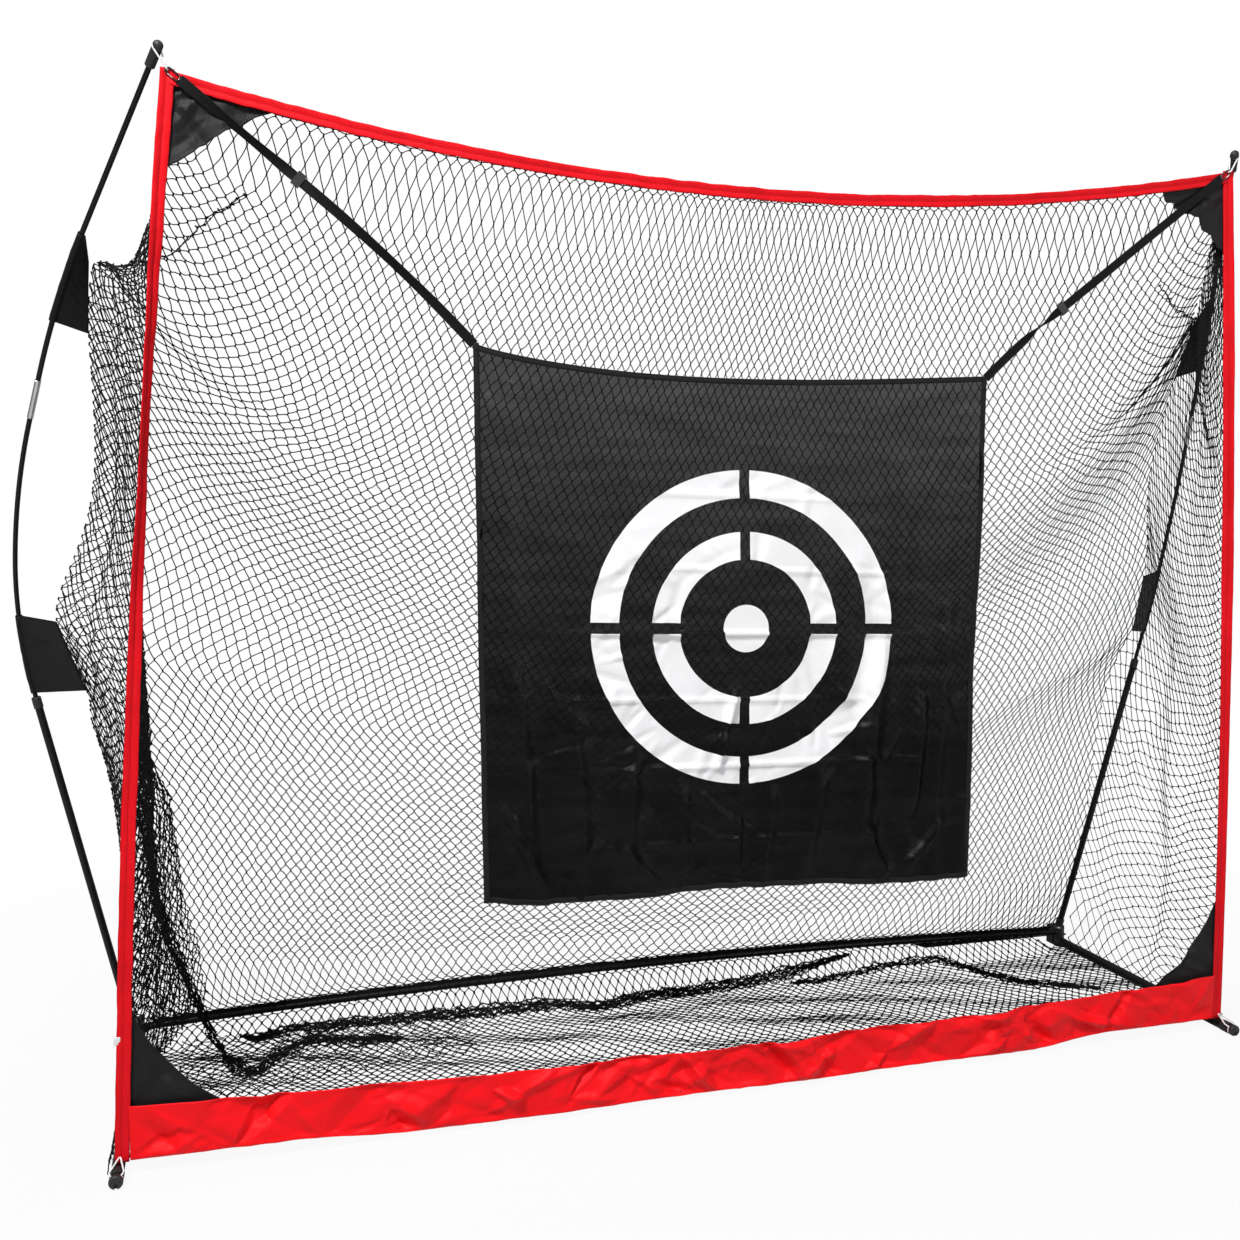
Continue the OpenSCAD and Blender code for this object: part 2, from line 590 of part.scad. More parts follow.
// ---- bands, skirt and patches ------------------------------------------------
module band_section() { translate([-band_w / 2, -band_t / 2]) square([band_w, band_t]); }
module band_side() {
  color("#d8131b") mouth_plane() arc_bar(band_foot, band_head, band_bow) band_section();
}
module band_top() {
  color("#d8131b") mouth_plane() arc_bar([-top_end[0], top_end[1]], top_end, top_sag) band_section();
}
skirt_corner_low = 31.5;
skirt_mid_low = 14;
skirt_mid_high = 113;
skirt_level_half = 720;        // the skirt's lower edge is level this far from the middle, then rises
skirt_rise_run = 250;
function skirt_low(x) =
  mix(skirt_mid_low, skirt_corner_low, ease((abs(x) - skirt_level_half) / skirt_rise_run));
function skirt_high(x) = skirt_mid_high + (skirt_corner_low + skirt_h - skirt_mid_high)
  * pow(x / half_w, 2);
skirt_t = 1.6;
module skirt() {
  half = band_x(skirt_high(half_w)) - band_w / 2 - 0.8;
  waves = 9;
  n = 54;
  // gathers fade out at both ends and lean a little from top to foot
  function y_at(x, v) = -skirt_wave * (0.5 + 0.5 * sin(360 * waves * x / half / 2 + 70 * v))
    * (1 - pow(abs(x / half), 8)) - 0.8;
  rows = 2;
  front = [for (r = [0 : rows], i = [0 : n])
    let (x = half * (-1 + 2 * i / n), v = r / rows, z = mix(skirt_low(x), skirt_high(x), v))
    [x, y_at(x, v) + mouth_y(z), z]];
  color("#d8131b") cloth(front, n + 1, rows, skirt_t);
}
// thin closed sheet over a grid of front points, thickened towards the back
module cloth(front, cols, rows, t) {
  count = cols * (rows + 1);
  verts = concat(front, [for (p = front) p + [0, t, 0]]);
  function id(r, c) = r * cols + c;
  function rim(a, b) = [[a, b, b + count], [a, b + count, a + count]];
  faces = concat(
    [for (r = [0 : rows - 1], c = [0 : cols - 2])
      each [[id(r, c), id(r + 1, c), id(r + 1, c + 1)], [id(r, c), id(r + 1, c + 1), id(r, c + 1)]]],
    [for (r = [0 : rows - 1], c = [0 : cols - 2])
      let (a = count + id(r, c), b = count + id(r + 1, c))
      each [[a, b + 1, b], [a, a + 1, b + 1]]],
    [for (c = [0 : cols - 2]) each rim(id(0, c), id(0, c + 1))],
    [for (c = [0 : cols - 2]) each rim(id(rows, c + 1), id(rows, c))],
    [for (r = [0 : rows - 1]) each rim(id(r + 1, 0), id(r, 0))],
    [for (r = [0 : rows - 1]) each rim(id(r, cols - 1), id(r + 1, cols - 1))]);
  polyhedron(verts, faces);
}
patch_t = 1.2;
// triangle of cloth behind the bands with a hollow long edge between p and q
module patch(p, q, heel) {
  pull = mix(mix(p, q, 0.5), heel, 0.22);
  curve = [for (i = [0 : 8]) let (t = i / 8) mix(mix(p, pull, t), mix(pull, q, t), t)];
  color("#28282b") mouth_plane() translate([0, band_t / 2 + seat + patch_t, 0]) rotate([90, 0, 0])
    linear_extrude(height = patch_t) polygon(concat([heel], curve));
}
patch_lap = 5;                 // patch behind the bands
patch_top_size = [172, 152];   // along the top band and down the side band
patch_foot_size = [186, 192];  // along the skirt and up the side band
skirt_gap = 1.5;               // foot patch above the skirt's top edge
module patch_top() {
  x0 = band_x(band_top_z) - band_w / 2 + patch_lap;
  z0 = top_z(x0) - band_w / 2 + patch_lap + 1;
  x1 = x0 - patch_top_size[0];
  z1 = z0 - patch_top_size[1];
  patch([x1, top_z(x1) - band_w / 2 + 2], [band_x(z1) - band_w / 2 + patch_lap - 1, z1], [x0, z0]);
}
module patch_foot() {
  z0 = skirt_high(half_w) + skirt_gap;
  x0 = band_x(z0) - band_w / 2 + patch_lap;
  x1 = x0 - patch_foot_size[0];
  z1 = z0 + patch_foot_size[1];
  patch([band_x(z1) - band_w / 2 + patch_lap - 1, z1], [x1, skirt_high(x1) + skirt_gap], [x0, z0]);
}
hem_t = 2;
module rear_hem() {
  color("#2a2a2c") rear_arc(0.008, 0.992)
    translate([rear_bar_d / 2 + seat, -hem_t / 2]) square([hem_h, hem_t]);
}
hem_tab_len = 468;
hem_tab_drop = 15;
hem_tab_slant = 50;
module rear_hem_tab() {
  x1 = half_w - 32;
  x0 = x1 - hem_tab_len;
  n = 8;
  upper = [for (i = [n : -1 : 0]) let (x = mix(x0, x1, i / n)) [x, rear_z(x) - rear_bar_d / 2 - seat]];
  lower = [[x0 + hem_tab_slant, rear_z(x0 + hem_tab_slant) - rear_bar_d / 2 - hem_tab_drop],
           [x1, skirt_corner_low + 1]];
  color("#141416") translate([0, depth + hem_t / 2, 0]) rotate([90, 0, 0])
    linear_extrude(height = hem_t) polygon(concat(upper, lower));
}

// ---- pole tabs -----------------------------------------------------------------
sleeve_wall = 1.3;
web_t = 2.4;
// sleeve round the pole from s0 to s1, and a flat web from it to two points on the net's edge
module pole_tab(s0, s1, p0, p1) {
  r = rod_d / 2 + seat;
  color("#161618") difference() {
    union() {
      pole_run(s0, s1) circle(r = r + sleeve_wall, $fn = 32);
      web(pole_xyz(s0 + 4), pole_xyz(s1 - 4), p1, p0);
    }
    pole_run(s0 - 6, s1 + 6) circle(r = r, $fn = 32);
  }
}
// flat plate through four corners
module web(a, b, c, d) {
  n = unit(cross(b - a, d - a)) * web_t / 2;
  polyhedron([a - n, b - n, c - n, d - n, a + n, b + n, c + n, d + n],
    [[0, 1, 2], [0, 2, 3], [4, 6, 5], [4, 7, 6], [0, 4, 5], [0, 5, 1], [1, 5, 6], [1, 6, 2],
     [2, 6, 7], [2, 7, 3], [3, 7, 4], [3, 4, 0]]);
}
// length along the pole at which it stands z high, found by ever smaller steps from s
function near(z, s, step) =
  step < 0.05 ? s : near(z, pole_xyz(s)[2] < z ? s + step : s - step, step * 0.7);
web_gap = 4;
module pole_tab_lower(side) {
  z = lower_tab_z(side);
  s0 = near(z - tab_low_run, pole_tube_len + 150, 150);
  s1 = near(z + tab_low_run, pole_tube_len + 150, 150);
  p0 = edge_xy(z - tab_low_half, side);
  p1 = edge_xy(z + tab_low_half, side);
  out = unit(pole_xyz((s0 + s1) / 2) - (p0 + p1) / 2) * web_gap;
  pole_tab(s0, s1, p0 + out + [2, 0, 0], p1 + out + [2, 0, 0]);
}
module pole_tab_upper() {
  s0 = near(tab_high_z[0] + 22, last_bend_s + 200, 150);
  s1 = near(tab_high_z[1] + 44, last_bend_s + 200, 150);
  p0 = edge_xy(tab_high_z[0], RIGHT);
  p1 = ridge_foot;
  out = unit(pole_xyz((s0 + s1) / 2) - (p0 + p1) / 2) * web_gap;
  pole_tab(s0, s1, p0 + out + [2, 0, 0], p1 + out + [2, 0, 0]);
}

// ---- target --------------------------------------------------------------------
module sheet_frame() {
  translate([sheet_x, sheet_y, sheet_top_z]) rotate([0, sheet_tilt, 0]) children();
}
hem_drop = 26;
hem_lap = 12;                  // bare strip under the hem's lower edge
module target_sheet() {
  n = 14;
  // long upright folds that grow towards the foot, and the storage creases across them
  function y_at(u, v) = drape * pow(1 - v, 1.5) * sin(430 * u + 60 * v) * (0.6 + 0.4 * u)
    + 2.2 * sin(360 * 3 * v) * (1 - ease((v - 0.86) / 0.08));
  front = [for (r = [0 : n], i = [0 : n]) let (u = i / n, v = r / n)
    [sheet_w * (u - 0.5), v > 0.97 ? 0 : y_at(u, v) - sheet_t / 2, sheet_h * (v - 1)]];
  color("#161618") sheet_frame()
    cloth([for (p = front) [p[0], p[2] > -hem_drop ? -sheet_t / 2 : p[1], p[2]]], n + 1, n, sheet_t);
}
module target_hem() {
  gap = sheet_t / 2 + seat;
  color("#2c2c2e") sheet_frame() translate([-sheet_w / 2, 0, 0]) rotate([90, 0, 90])
    linear_extrude(height = sheet_w) difference() {
      translate([-gap - hem_wrap, -hem_drop + hem_lap])
        square([2 * (gap + hem_wrap), hem_drop - hem_lap + seat + hem_wrap]);
      translate([-gap, -hem_drop]) square([2 * gap, hem_drop + seat]);
    }
}
module strap(side) {
  way = strap_way(side);
  low = strap_low(side);
  color("#1a1a1c") along(low, way)
    translate([-strap_w / 2, -strap_t / 2, 0])
      cube([strap_w, strap_t, norm(strap_high(side) - low) - hook_wire / 2 - seat]);
}
slider_at = [445, 235];        // slider's height up each strap, left and right
slider_size = [strap_w + 8, 4.4, 17];
module strap_slider(side) {
  color("#101012") along(strap_low(side), strap_way(side))
    translate([0, 0, slider_at[side == LEFT ? 0 : 1]]) difference() {
      cube(slider_size, center = true);
      cube([strap_w + 2 * seat, strap_t + 2 * seat, slider_size[2] + 2], center = true);
    }
}
hook_half_w = 5.5;
gate_from = 8;
gate_to = 21;
module hook_wire_ring() {
  for (end = [0, 1]) translate([0, 0, end == 0 ? hook_half_w : hook_len - hook_half_w])
    rotate([90, 0, 0]) rotate([0, 0, end == 0 ? 180 : 0])
      rotate_extrude(angle = 180, $fn = 48) translate([hook_half_w, 0]) circle(d = hook_wire, $fn = 24);
  for (x = [-1, 1]) translate([x * hook_half_w, 0, hook_half_w])
    cylinder(d = hook_wire, h = hook_len - 2 * hook_half_w, $fn = 24);
}
gate_pin_r = 0.7;
module snap_hook(side) {
  color("#55585c") along(strap_high(side), strap_way(side)) {
    difference() {
      hook_wire_ring();
      translate([hook_half_w - 3, -3, gate_from - seat - 2])
        cube([6, 6, gate_to - gate_from + 2 + 2 * seat]);
    }
    for (y = [-1, 1]) translate([hook_half_w, y * 1.6 - 0.3, gate_from])
      rotate([-90, 0, 0]) cylinder(r = 1.7, h = 0.6, $fn = 32);
    for (y = [-1, 1]) translate([hook_half_w - 1.2, y * 1.6 - 0.3, gate_from - 5]) cube([2.4, 0.6, 5]);
    translate([hook_half_w, 1.6, gate_from]) rotate([90, 0, 0]) cylinder(r = gate_pin_r, h = 3.2, $fn = 32);
  }
}
module hook_gate(side) {
  color("#9da1a6") along(strap_high(side), strap_way(side)) translate([hook_half_w, 0, gate_from])
    difference() {
      union() {
        rotate([90, 0, 0]) cylinder(r = 1.5, h = 2, center = true, $fn = 32);
        translate([-0.9, -1, 0]) cube([1.8, 2, gate_to - gate_from]);
      }
      rotate([90, 0, 0]) cylinder(r = gate_pin_r + fit, h = 4, center = true, $fn = 32);
    }
}
module blank_tag() {
  z = 268;
  color("white") mouth_plane() translate([band_x(z) + band_w / 2 - 7, -band_t / 2 - seat - 0.5, z])
    cube([12, 0.5, 16]);
}

place() rear_bar(2 / 3, 1);  // rear_bar_left
place() rear_bar(1 / 3, 2 / 3);  // rear_bar_middle
place() rear_bar(0, 1 / 3);  // rear_bar_right
place() rear_bar_spigots();
place(LEFT) corner_bracket();  // corner_bracket_left
place() corner_bracket();  // corner_bracket_right
place(LEFT) fold_pin();  // fold_pin_left
place() fold_pin();  // fold_pin_right
place(LEFT) side_bar();  // side_bar_left
place() side_bar();  // side_bar_right
place(LEFT) side_bar_eye();  // side_bar_eye_left
place() side_bar_eye();  // side_bar_eye_right
place(LEFT) foot_cap();  // foot_cap_left
place() foot_cap();  // foot_cap_right
place(LEFT) pole_tube();  // pole_tube_left
place() pole_tube();  // pole_tube_right
place(LEFT) tube_collar();  // tube_collar_left
place() tube_collar();  // tube_collar_right
place(LEFT) rod_lower();  // rod_lower_left
place() rod_lower();  // rod_lower_right
place(LEFT) ferrule();  // ferrule_left
place() ferrule();  // ferrule_right
place(LEFT) rod_upper();  // rod_upper_left
place() rod_upper();  // rod_upper_right
place(LEFT) pole_cap();  // pole_cap_left
place() pole_cap();  // pole_cap_right
place() net_back();
place(LEFT) net_side(LEFT);  // net_left
place() net_side(RIGHT);  // net_right
place() net_floor();
place() band_top();
place(LEFT) band_side();  // band_left
place() band_side();  // band_right
place() skirt();
place(LEFT) patch_top();  // patch_top_left
place() patch_top();  // patch_top_right
place(LEFT) patch_foot();  // patch_foot_left
place() patch_foot();  // patch_foot_right
place() rear_hem();
place() rear_hem_tab();
place(LEFT) pole_tab_upper();  // pole_tab_upper_left
place() pole_tab_upper();  // pole_tab_upper_right
place(LEFT) pole_tab_lower(LEFT);  // pole_tab_lower_left
place() pole_tab_lower(RIGHT);  // pole_tab_lower_right
place(LEFT) top_elastic(LEFT);  // top_elastic_left
place() top_elastic(RIGHT);  // top_elastic_right
place(LEFT) foot_elastic();  // foot_elastic_left
place() foot_elastic();  // foot_elastic_right
place(LEFT) blank_tag();
place() target_sheet();
place() target_hem();
place(LEFT) strap(LEFT);  // strap_left
place() strap(RIGHT);  // strap_right
place(LEFT) strap_slider(LEFT);  // strap_slider_left
place() strap_slider(RIGHT);  // strap_slider_right
place(LEFT) snap_hook(LEFT);  // snap_hook_left
place() snap_hook(RIGHT);  // snap_hook_right
place(LEFT) hook_gate(LEFT);  // hook_gate_left
place() hook_gate(RIGHT);  // hook_gate_right
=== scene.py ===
import json
import math

import bpy
import numpy as np
from mathutils import Matrix, Vector


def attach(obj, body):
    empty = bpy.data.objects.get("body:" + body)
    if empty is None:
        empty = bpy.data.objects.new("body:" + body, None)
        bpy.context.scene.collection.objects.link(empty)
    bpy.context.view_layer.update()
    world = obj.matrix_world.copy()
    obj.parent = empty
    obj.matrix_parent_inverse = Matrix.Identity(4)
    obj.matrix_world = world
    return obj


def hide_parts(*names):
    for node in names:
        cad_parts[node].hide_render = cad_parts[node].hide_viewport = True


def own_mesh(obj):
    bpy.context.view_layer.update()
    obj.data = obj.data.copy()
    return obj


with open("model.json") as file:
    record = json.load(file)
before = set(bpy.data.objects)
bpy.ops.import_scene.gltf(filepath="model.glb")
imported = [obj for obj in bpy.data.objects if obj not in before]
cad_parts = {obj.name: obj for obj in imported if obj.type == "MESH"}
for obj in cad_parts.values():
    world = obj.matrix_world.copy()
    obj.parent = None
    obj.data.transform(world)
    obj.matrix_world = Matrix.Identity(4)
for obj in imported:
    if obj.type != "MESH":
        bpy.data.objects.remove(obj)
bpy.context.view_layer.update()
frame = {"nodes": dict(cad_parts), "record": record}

NODES = frame["nodes"]
ROOT = "net_and_frame"
SIDES = LEFT, RIGHT = -1, 1
NAMES = {LEFT: "left", RIGHT: "right"}

MID_Y = 0.31048
HALF_W, DEPTH = 1.3, 0.66       # the floor's half width, and from the mouth back to the rear bar
LEAN = math.radians(2.0353)     # of the mouth, forward
BAND_FOOT, BAND_HEAD = (1.292, 0.032), (1.1578, 2.0819)
TOP_END, TOP_SAG = (1.1428, 2.0679), 0.118
TOP_ARC = (TOP_END[0] ** 2 + TOP_SAG ** 2) / (2 * TOP_SAG)
REAR_BAR_Z, REAR_BAR_R = 0.043, 0.00875
REAR_END, REAR_RISE = 1.2857, 0.030
REAR_ARC = (REAR_END ** 2 + REAR_RISE ** 2) / (2 * REAR_RISE)
SHEET_X, SHEET_Y, SHEET_TOP = -0.014, -0.05043, 1.616
SHEET_TILT = math.radians(1.4)
SHEET_W, SHEET_H = 1.148, 1.146
CORNER = np.array([1.1598, -0.0781, 2.0839])    # where band, hook and elastic meet, on the right
FLOOR_GAP = 0.0012              # the least height of netting and cloth over the floor


# ---- small helpers ----

def mix(a, b, t):
    """From a to b in the share t."""
    return a + (b - a) * t


def ease(t):
    """A soft step from 0 to 1."""
    t = np.clip(t, 0, 1)
    return t * t * (3 - 2 * t)


def unit(v):
    v = np.asarray(v, float)
    return v / np.maximum(np.linalg.norm(v, axis=-1, keepdims=True), 1e-9)


def mouth_y(z):
    """Depth of the leaning mouth at a height."""
    return -z * math.tan(LEAN)


def band_x(z):
    """The side band's distance from the middle at a height: a bar that bows a little outwards."""
    t = (z - BAND_FOOT[1]) / (BAND_HEAD[1] - BAND_FOOT[1])
    return mix(BAND_FOOT[0], BAND_HEAD[0], t) + 0.06 * t * (1 - t)


def top_z(x):
    """Height of the sagging top band."""
    return TOP_END[1] - TOP_SAG + TOP_ARC - np.sqrt(TOP_ARC ** 2 - x * x)


def rear_z(x):
    """Height of the arched rear bar's centre."""
    return REAR_BAR_Z + REAR_RISE - REAR_ARC + np.sqrt(REAR_ARC ** 2 - np.square(x))


def skirt_low(x):
    """Height of the skirt's lower edge."""
    return mix(0.014, 0.0315, ease((np.abs(x) - 0.72) / 0.25))


def skirt_high(x):
    """Height of the skirt's upper edge."""
    return 0.113 + 0.0315 * np.square(x / HALF_W)


def smooth_noise(size, cells, seed, octaves):
    """Random hills from -1 to 1 on a grid of size = (rows, cols), the coarsest about as many as cells."""
    out = np.zeros(size)
    share, total = 1.0, 0.0
    for octave in range(octaves):
        r = np.random.default_rng(seed + octave)
        rows, cols = (int(count * 2 ** octave) + 2 for count in cells)
        table = r.uniform(-1, 1, (rows, cols))
        y, x = np.linspace(0, rows - 1.001, size[0]), np.linspace(0, cols - 1.001, size[1])
        iy, ix = y.astype(int), x.astype(int)
        fy, fx = ease(y - iy)[:, None], ease(x - ix)[None, :]
        near = mix(table[np.ix_(iy, ix)], table[np.ix_(iy, ix + 1)], fx)
        far = mix(table[np.ix_(iy + 1, ix)], table[np.ix_(iy + 1, ix + 1)], fx)
        out += share * mix(near, far, fy)
        total += share
        share *= 0.5
    return out / total


def noise_line(count, cells, seed, octaves):
    """Random hills along a line."""
    return smooth_noise((1, count), (1, cells), seed, octaves)[0]


def crumple(x, z, seed, count, width, length, lean=(0.3, 1.1)):
    """Sum of flat-sided ridges and dents that lie in slanting directions, as in crushed cloth."""
    r = np.random.default_rng(seed)
    out = np.zeros_like(x)
    for _ in range(count):
        cx, cz = r.uniform(x.min(), x.max()), r.uniform(z.min(), z.max())
        a = r.uniform(*lean) * r.choice([-1, 1])
        off = (x - cx) * math.sin(a) - (z - cz) * math.cos(a)
        on = (x - cx) * math.cos(a) + (z - cz) * math.sin(a)
        w, l = r.uniform(*width), r.uniform(*length)
        out += r.normal() * np.clip(1 - (on / l) ** 2 - np.abs(off) / w, 0, 1)
    return np.clip(out / max(1e-6, 2.2 * out.std()), -1.4, 1.4)


def smooth_line(points, steps):
    """Points along a Catmull-Rom curve through the given ones."""
    p = np.asarray(points, float)
    p = np.vstack([2 * p[0] - p[1], p, 2 * p[-1] - p[-2]])
    a, b, c, d = (p[k:len(p) - 3 + k, None] for k in range(4))
    t = np.linspace(0, 1, steps, endpoint=False)[:, None]
    curve = 0.5 * (2 * b + (c - a) * t + (2 * a - 5 * b + 4 * c - d) * t ** 2 + (3 * b - a - 3 * c + d) * t ** 3)
    return np.vstack([curve.reshape(-1, 3), p[-2]])


def distances(line):
    """How far along a line each of its points lies."""
    return np.concatenate([[0], np.cumsum(np.linalg.norm(np.diff(line, axis=0), axis=1))])


def read_line(at, s, line):
    """Places on a line whose points lie at s, for any values between them."""
    return np.stack([np.interp(at, s, line[:, k]) for k in range(3)], -1)


def evenly(points, count):
    """The same line with count points at equal distances."""
    line = np.asarray(points, float)
    s = distances(line)
    return read_line(np.linspace(0, s[-1], count), s, line)


def soft_path(points, count):
    """A smooth line through the given points, with count points at equal distances."""
    return evenly(smooth_line(points, 12), count)


def shares(rows, cols):
    """How far across and how far up each point of a grid lies, from 0 to 1."""
    return np.meshgrid(np.linspace(0, 1, cols), np.linspace(0, 1, rows))


def outward(verts, quads):
    """The faces of a closed shape, turned so that they look outwards."""
    a, b, c, d = (verts[quads[:, k]] - verts[0] for k in range(4))
    volume = (np.cross(b, c) * a).sum() + (np.cross(c, d) * a).sum()
    return quads if volume > 0 else quads[:, ::-1]


def add_object(name, data):
    made = bpy.data.objects.new(name, data)
    bpy.context.scene.collection.objects.link(made)
    return made


def mesh_piece(name, verts, quads, material, uv=None):
    """A mesh object from arrays of points and four-cornered faces of a closed shape."""
    verts = np.array(verts, float) - np.array([0, MID_Y, 0])
    verts[:, 2] = np.maximum(verts[:, 2], FLOOR_GAP)
    quads = outward(verts, np.asarray(quads, np.int32))
    mesh = bpy.data.meshes.new(name)
    mesh.vertices.add(len(verts))
    mesh.vertices.foreach_set("co", verts.astype(np.float32).ravel())
    mesh.loops.add(quads.size)
    mesh.loops.foreach_set("vertex_index", quads.ravel())
    mesh.polygons.add(len(quads))
    mesh.polygons.foreach_set("loop_start", np.arange(0, quads.size, quads.shape[1], dtype=np.int32))
    if uv is not None:
        layer = mesh.uv_layers.new(name="UVMap")
        layer.data.foreach_set("uv", np.asarray(uv, np.float32)[quads.ravel()].ravel())
    mesh.update(calc_edges=True)
    mesh.validate()
    mesh.polygons.foreach_set("use_smooth", np.full(len(mesh.polygons), True))
    mesh.materials.append(material)
    return add_object(name, mesh)


def finish_piece(piece, slot, *nodes, body=ROOT):
    """Puts a piece on its body and has it stand in for the solids it replaces."""
    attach(piece, body)
    if nodes:
        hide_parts(*nodes)
    return piece


def sheet_mesh(name, front, thick, material, uv):
    """Closed thin cloth over a grid of front points, thickened along its own normals."""
    rows, cols = front.shape[:2]
    n = rows * cols
    back = front - unit(np.cross(np.gradient(front, axis=1), np.gradient(front, axis=0))) * thick
    at = np.arange(n).reshape(rows, cols)
    faces = np.stack([at[:-1, :-1], at[:-1, 1:], at[1:, 1:], at[1:, :-1]], -1).reshape(-1, 4)
    rim = np.concatenate([at[0], at[1:, -1], at[-1, -2::-1], at[-2:0:-1, 0]])
    after = np.roll(rim, -1)
    edge = np.stack([rim, rim + n, after + n, after], axis=1)
    return mesh_piece(name, np.concatenate([front.reshape(-1, 3), back.reshape(-1, 3)]),
                      np.concatenate([faces, faces[:, ::-1] + n, edge]), material, np.tile(uv.reshape(-1, 2), (2, 1)))


def rings_to_mesh(rings, closed=False):
    """Points and faces of tubes given as an array (tubes, rings, sides, 3), as loops or with closed ends."""
    n, k, sides = rings.shape[:3]
    i, j = np.meshgrid(np.arange(k if closed else k - 1), np.arange(sides), indexing="ij")
    here, there, on = i * sides, (i + 1) % k * sides, (j + 1) % sides
    faces = np.stack([here + j, here + on, there + on, there + j], -1).reshape(-1, 4)
    if not closed:
        m = np.arange(sides // 2 - 1)
        cap = np.stack([sides - 1 - m, sides - 2 - m, m + 1, m], axis=1)
        faces = np.concatenate([faces, cap, cap[:, ::-1] + (k - 1) * sides])
    return rings.reshape(-1, 3), (np.arange(n)[:, None, None] * k * sides + faces).reshape(-1, 4)


def strip(name, line, across, section, material, widths, thick):
    """A flat strap along a line. section lists (place across from -1 to 1, height from -1 to 1)."""
    way = unit(np.gradient(line, axis=0))
    across = unit(across - way * (across * way).sum(1, keepdims=True))
    face = unit(np.cross(across, way))
    place, height = np.array(section, float).T[..., None]
    widths = np.broadcast_to(widths, len(line))[:, None, None]
    rings = line[:, None] + across[:, None] * place * widths / 2 + face[:, None] * height * thick / 2
    uv = np.stack(np.broadcast_arrays(distances(line)[:, None], place[:, 0] * 0.5 + 0.5), -1)
    return mesh_piece(name, *rings_to_mesh(rings[None]), material, uv.reshape(-1, 2))


def tube(line, radius, sides, closed=False):
    """Points and faces of a round cord along a line."""
    way = unit(np.roll(line, -1, 0) - np.roll(line, 1, 0)) if closed else unit(np.gradient(line, axis=0))
    out = np.cross(way[0], [0.3, 0.2, 0.9])
    turn = 2 * np.pi * np.arange(sides)[:, None] / sides
    rings = []
    for place, heading, r in zip(line, way, np.broadcast_to(radius, len(line))):
        out = unit(out - heading * np.dot(out, heading))
        rings.append(place + r * (np.cos(turn) * out + np.sin(turn) * np.cross(heading, out)))
    return rings_to_mesh(np.array(rings)[None], closed)


# ---- finishes ----

def add_node(tree, kind, **values):
    """A new node with its sockets and settings given by name, _ for a space. A socket as value is linked."""
    made = tree.nodes.new("ShaderNode" + kind)
    for key, value in values.items():
        socket = key.replace("_", " ")
        if socket in made.inputs:
            join(tree, value, made.inputs[socket])
        else:
            setattr(made, key, value)
    return made


def join(tree, value, socket):
    if isinstance(value, bpy.types.NodeSocket):
        tree.links.new(value, socket)
    else:
        socket.default_value = value


class Finish:
    """A material put together node by node."""

    def __init__(self, name, colour, rough, metal=0.0, sheen=0.0, coat=0.0, shine=0.5):
        self.material = bpy.data.materials.new(name)
        self.material.use_nodes = True
        self.tree = self.material.node_tree
        self.shader = self.tree.nodes["Principled BSDF"]
        for socket, value in (("Base Color", (*colour, 1)), ("Roughness", rough), ("Metallic", metal),
                              ("Sheen Weight", sheen), ("Sheen Roughness", 0.4), ("Coat Weight", coat),
                              ("Specular IOR Level", shine)):
            self.to_shader(value, socket)

    def node(self, kind, **values):
        return add_node(self.tree, kind, **values)

    def to_shader(self, value, socket):
        join(self.tree, value, self.shader.inputs[socket])

    def place(self, uv=False, scale=(1, 1, 1)):
        coords = self.node("TexCoord").outputs["UV" if uv else "Object"]
        return self.node("Mapping", Vector=coords, Scale=scale).outputs["Vector"]

    def noise(self, vector, scale, detail, rough=0.5, low=0.3, high=0.7):
        tex = self.node("TexNoise", Vector=vector, Scale=scale, Detail=detail, Roughness=rough)
        return self.range(tex.outputs["Fac"], low, high, 0, 1)

    def ridges(self, vector, scale, detail):
        tex = self.node("TexNoise", noise_type="RIDGED_MULTIFRACTAL", Vector=vector, Scale=scale, Detail=detail,
                        Roughness=0.55)
        return tex.outputs["Fac"]

    def wave(self, vector, scale, direction, twist=0.0):
        tex = self.node("TexWave", Vector=vector, Scale=scale, Distortion=twist, bands_direction=direction)
        return tex.outputs["Fac"]

    def range(self, value, low, high, to_low, to_high):
        made = self.node("MapRange", Value=value, From_Min=low, From_Max=high, To_Min=to_low, To_Max=to_high)
        return made.outputs["Result"]

    def math(self, operation, a, b=0.0):
        made = self.node("Math", operation=operation)
        join(self.tree, a, made.inputs[0])
        join(self.tree, b, made.inputs[1])
        return made.outputs[0]

    def times(self, a, b):
        return self.math("MULTIPLY", a, b)

    def between(self, value, low, high):
        return self.times(self.math("GREATER_THAN", value, low), self.math("LESS_THAN", value, high))

    def blend(self, share, a, b):
        made = self.node("Mix", data_type="RGBA", Factor=share)
        join(self.tree, a, made.inputs[6])
        join(self.tree, b, made.inputs[7])
        return made.outputs[2]

    def crossing(self, at, scale):
        """Threads that cross, from 0 to 1."""
        return self.times(self.wave(at, scale, "X"), self.wave(at, scale, "Y"))

    def bump(self, height, strength, distance, normal=None):
        below = {} if normal is None else {"Normal": normal}
        return self.node("Bump", Height=height, Strength=strength, Distance=distance, **below).outputs["Normal"]

    def dress(self, tone, rough, *relief):
        """Sets colour, roughness as (mask, low, high) and relief, the values that bump takes."""
        mask, low, high = rough
        self.to_shader(tone, "Base Color")
        self.to_shader(self.range(mask, 0, 1, low, high), "Roughness")
        self.to_shader(self.bump(*relief), "Normal")
        return self.material


def shade(colour, gain):
    return tuple(min(1.0, c * gain) for c in colour[:3]) + (1,)


def grey(level, cool=0.0):
    return level, level, level + cool


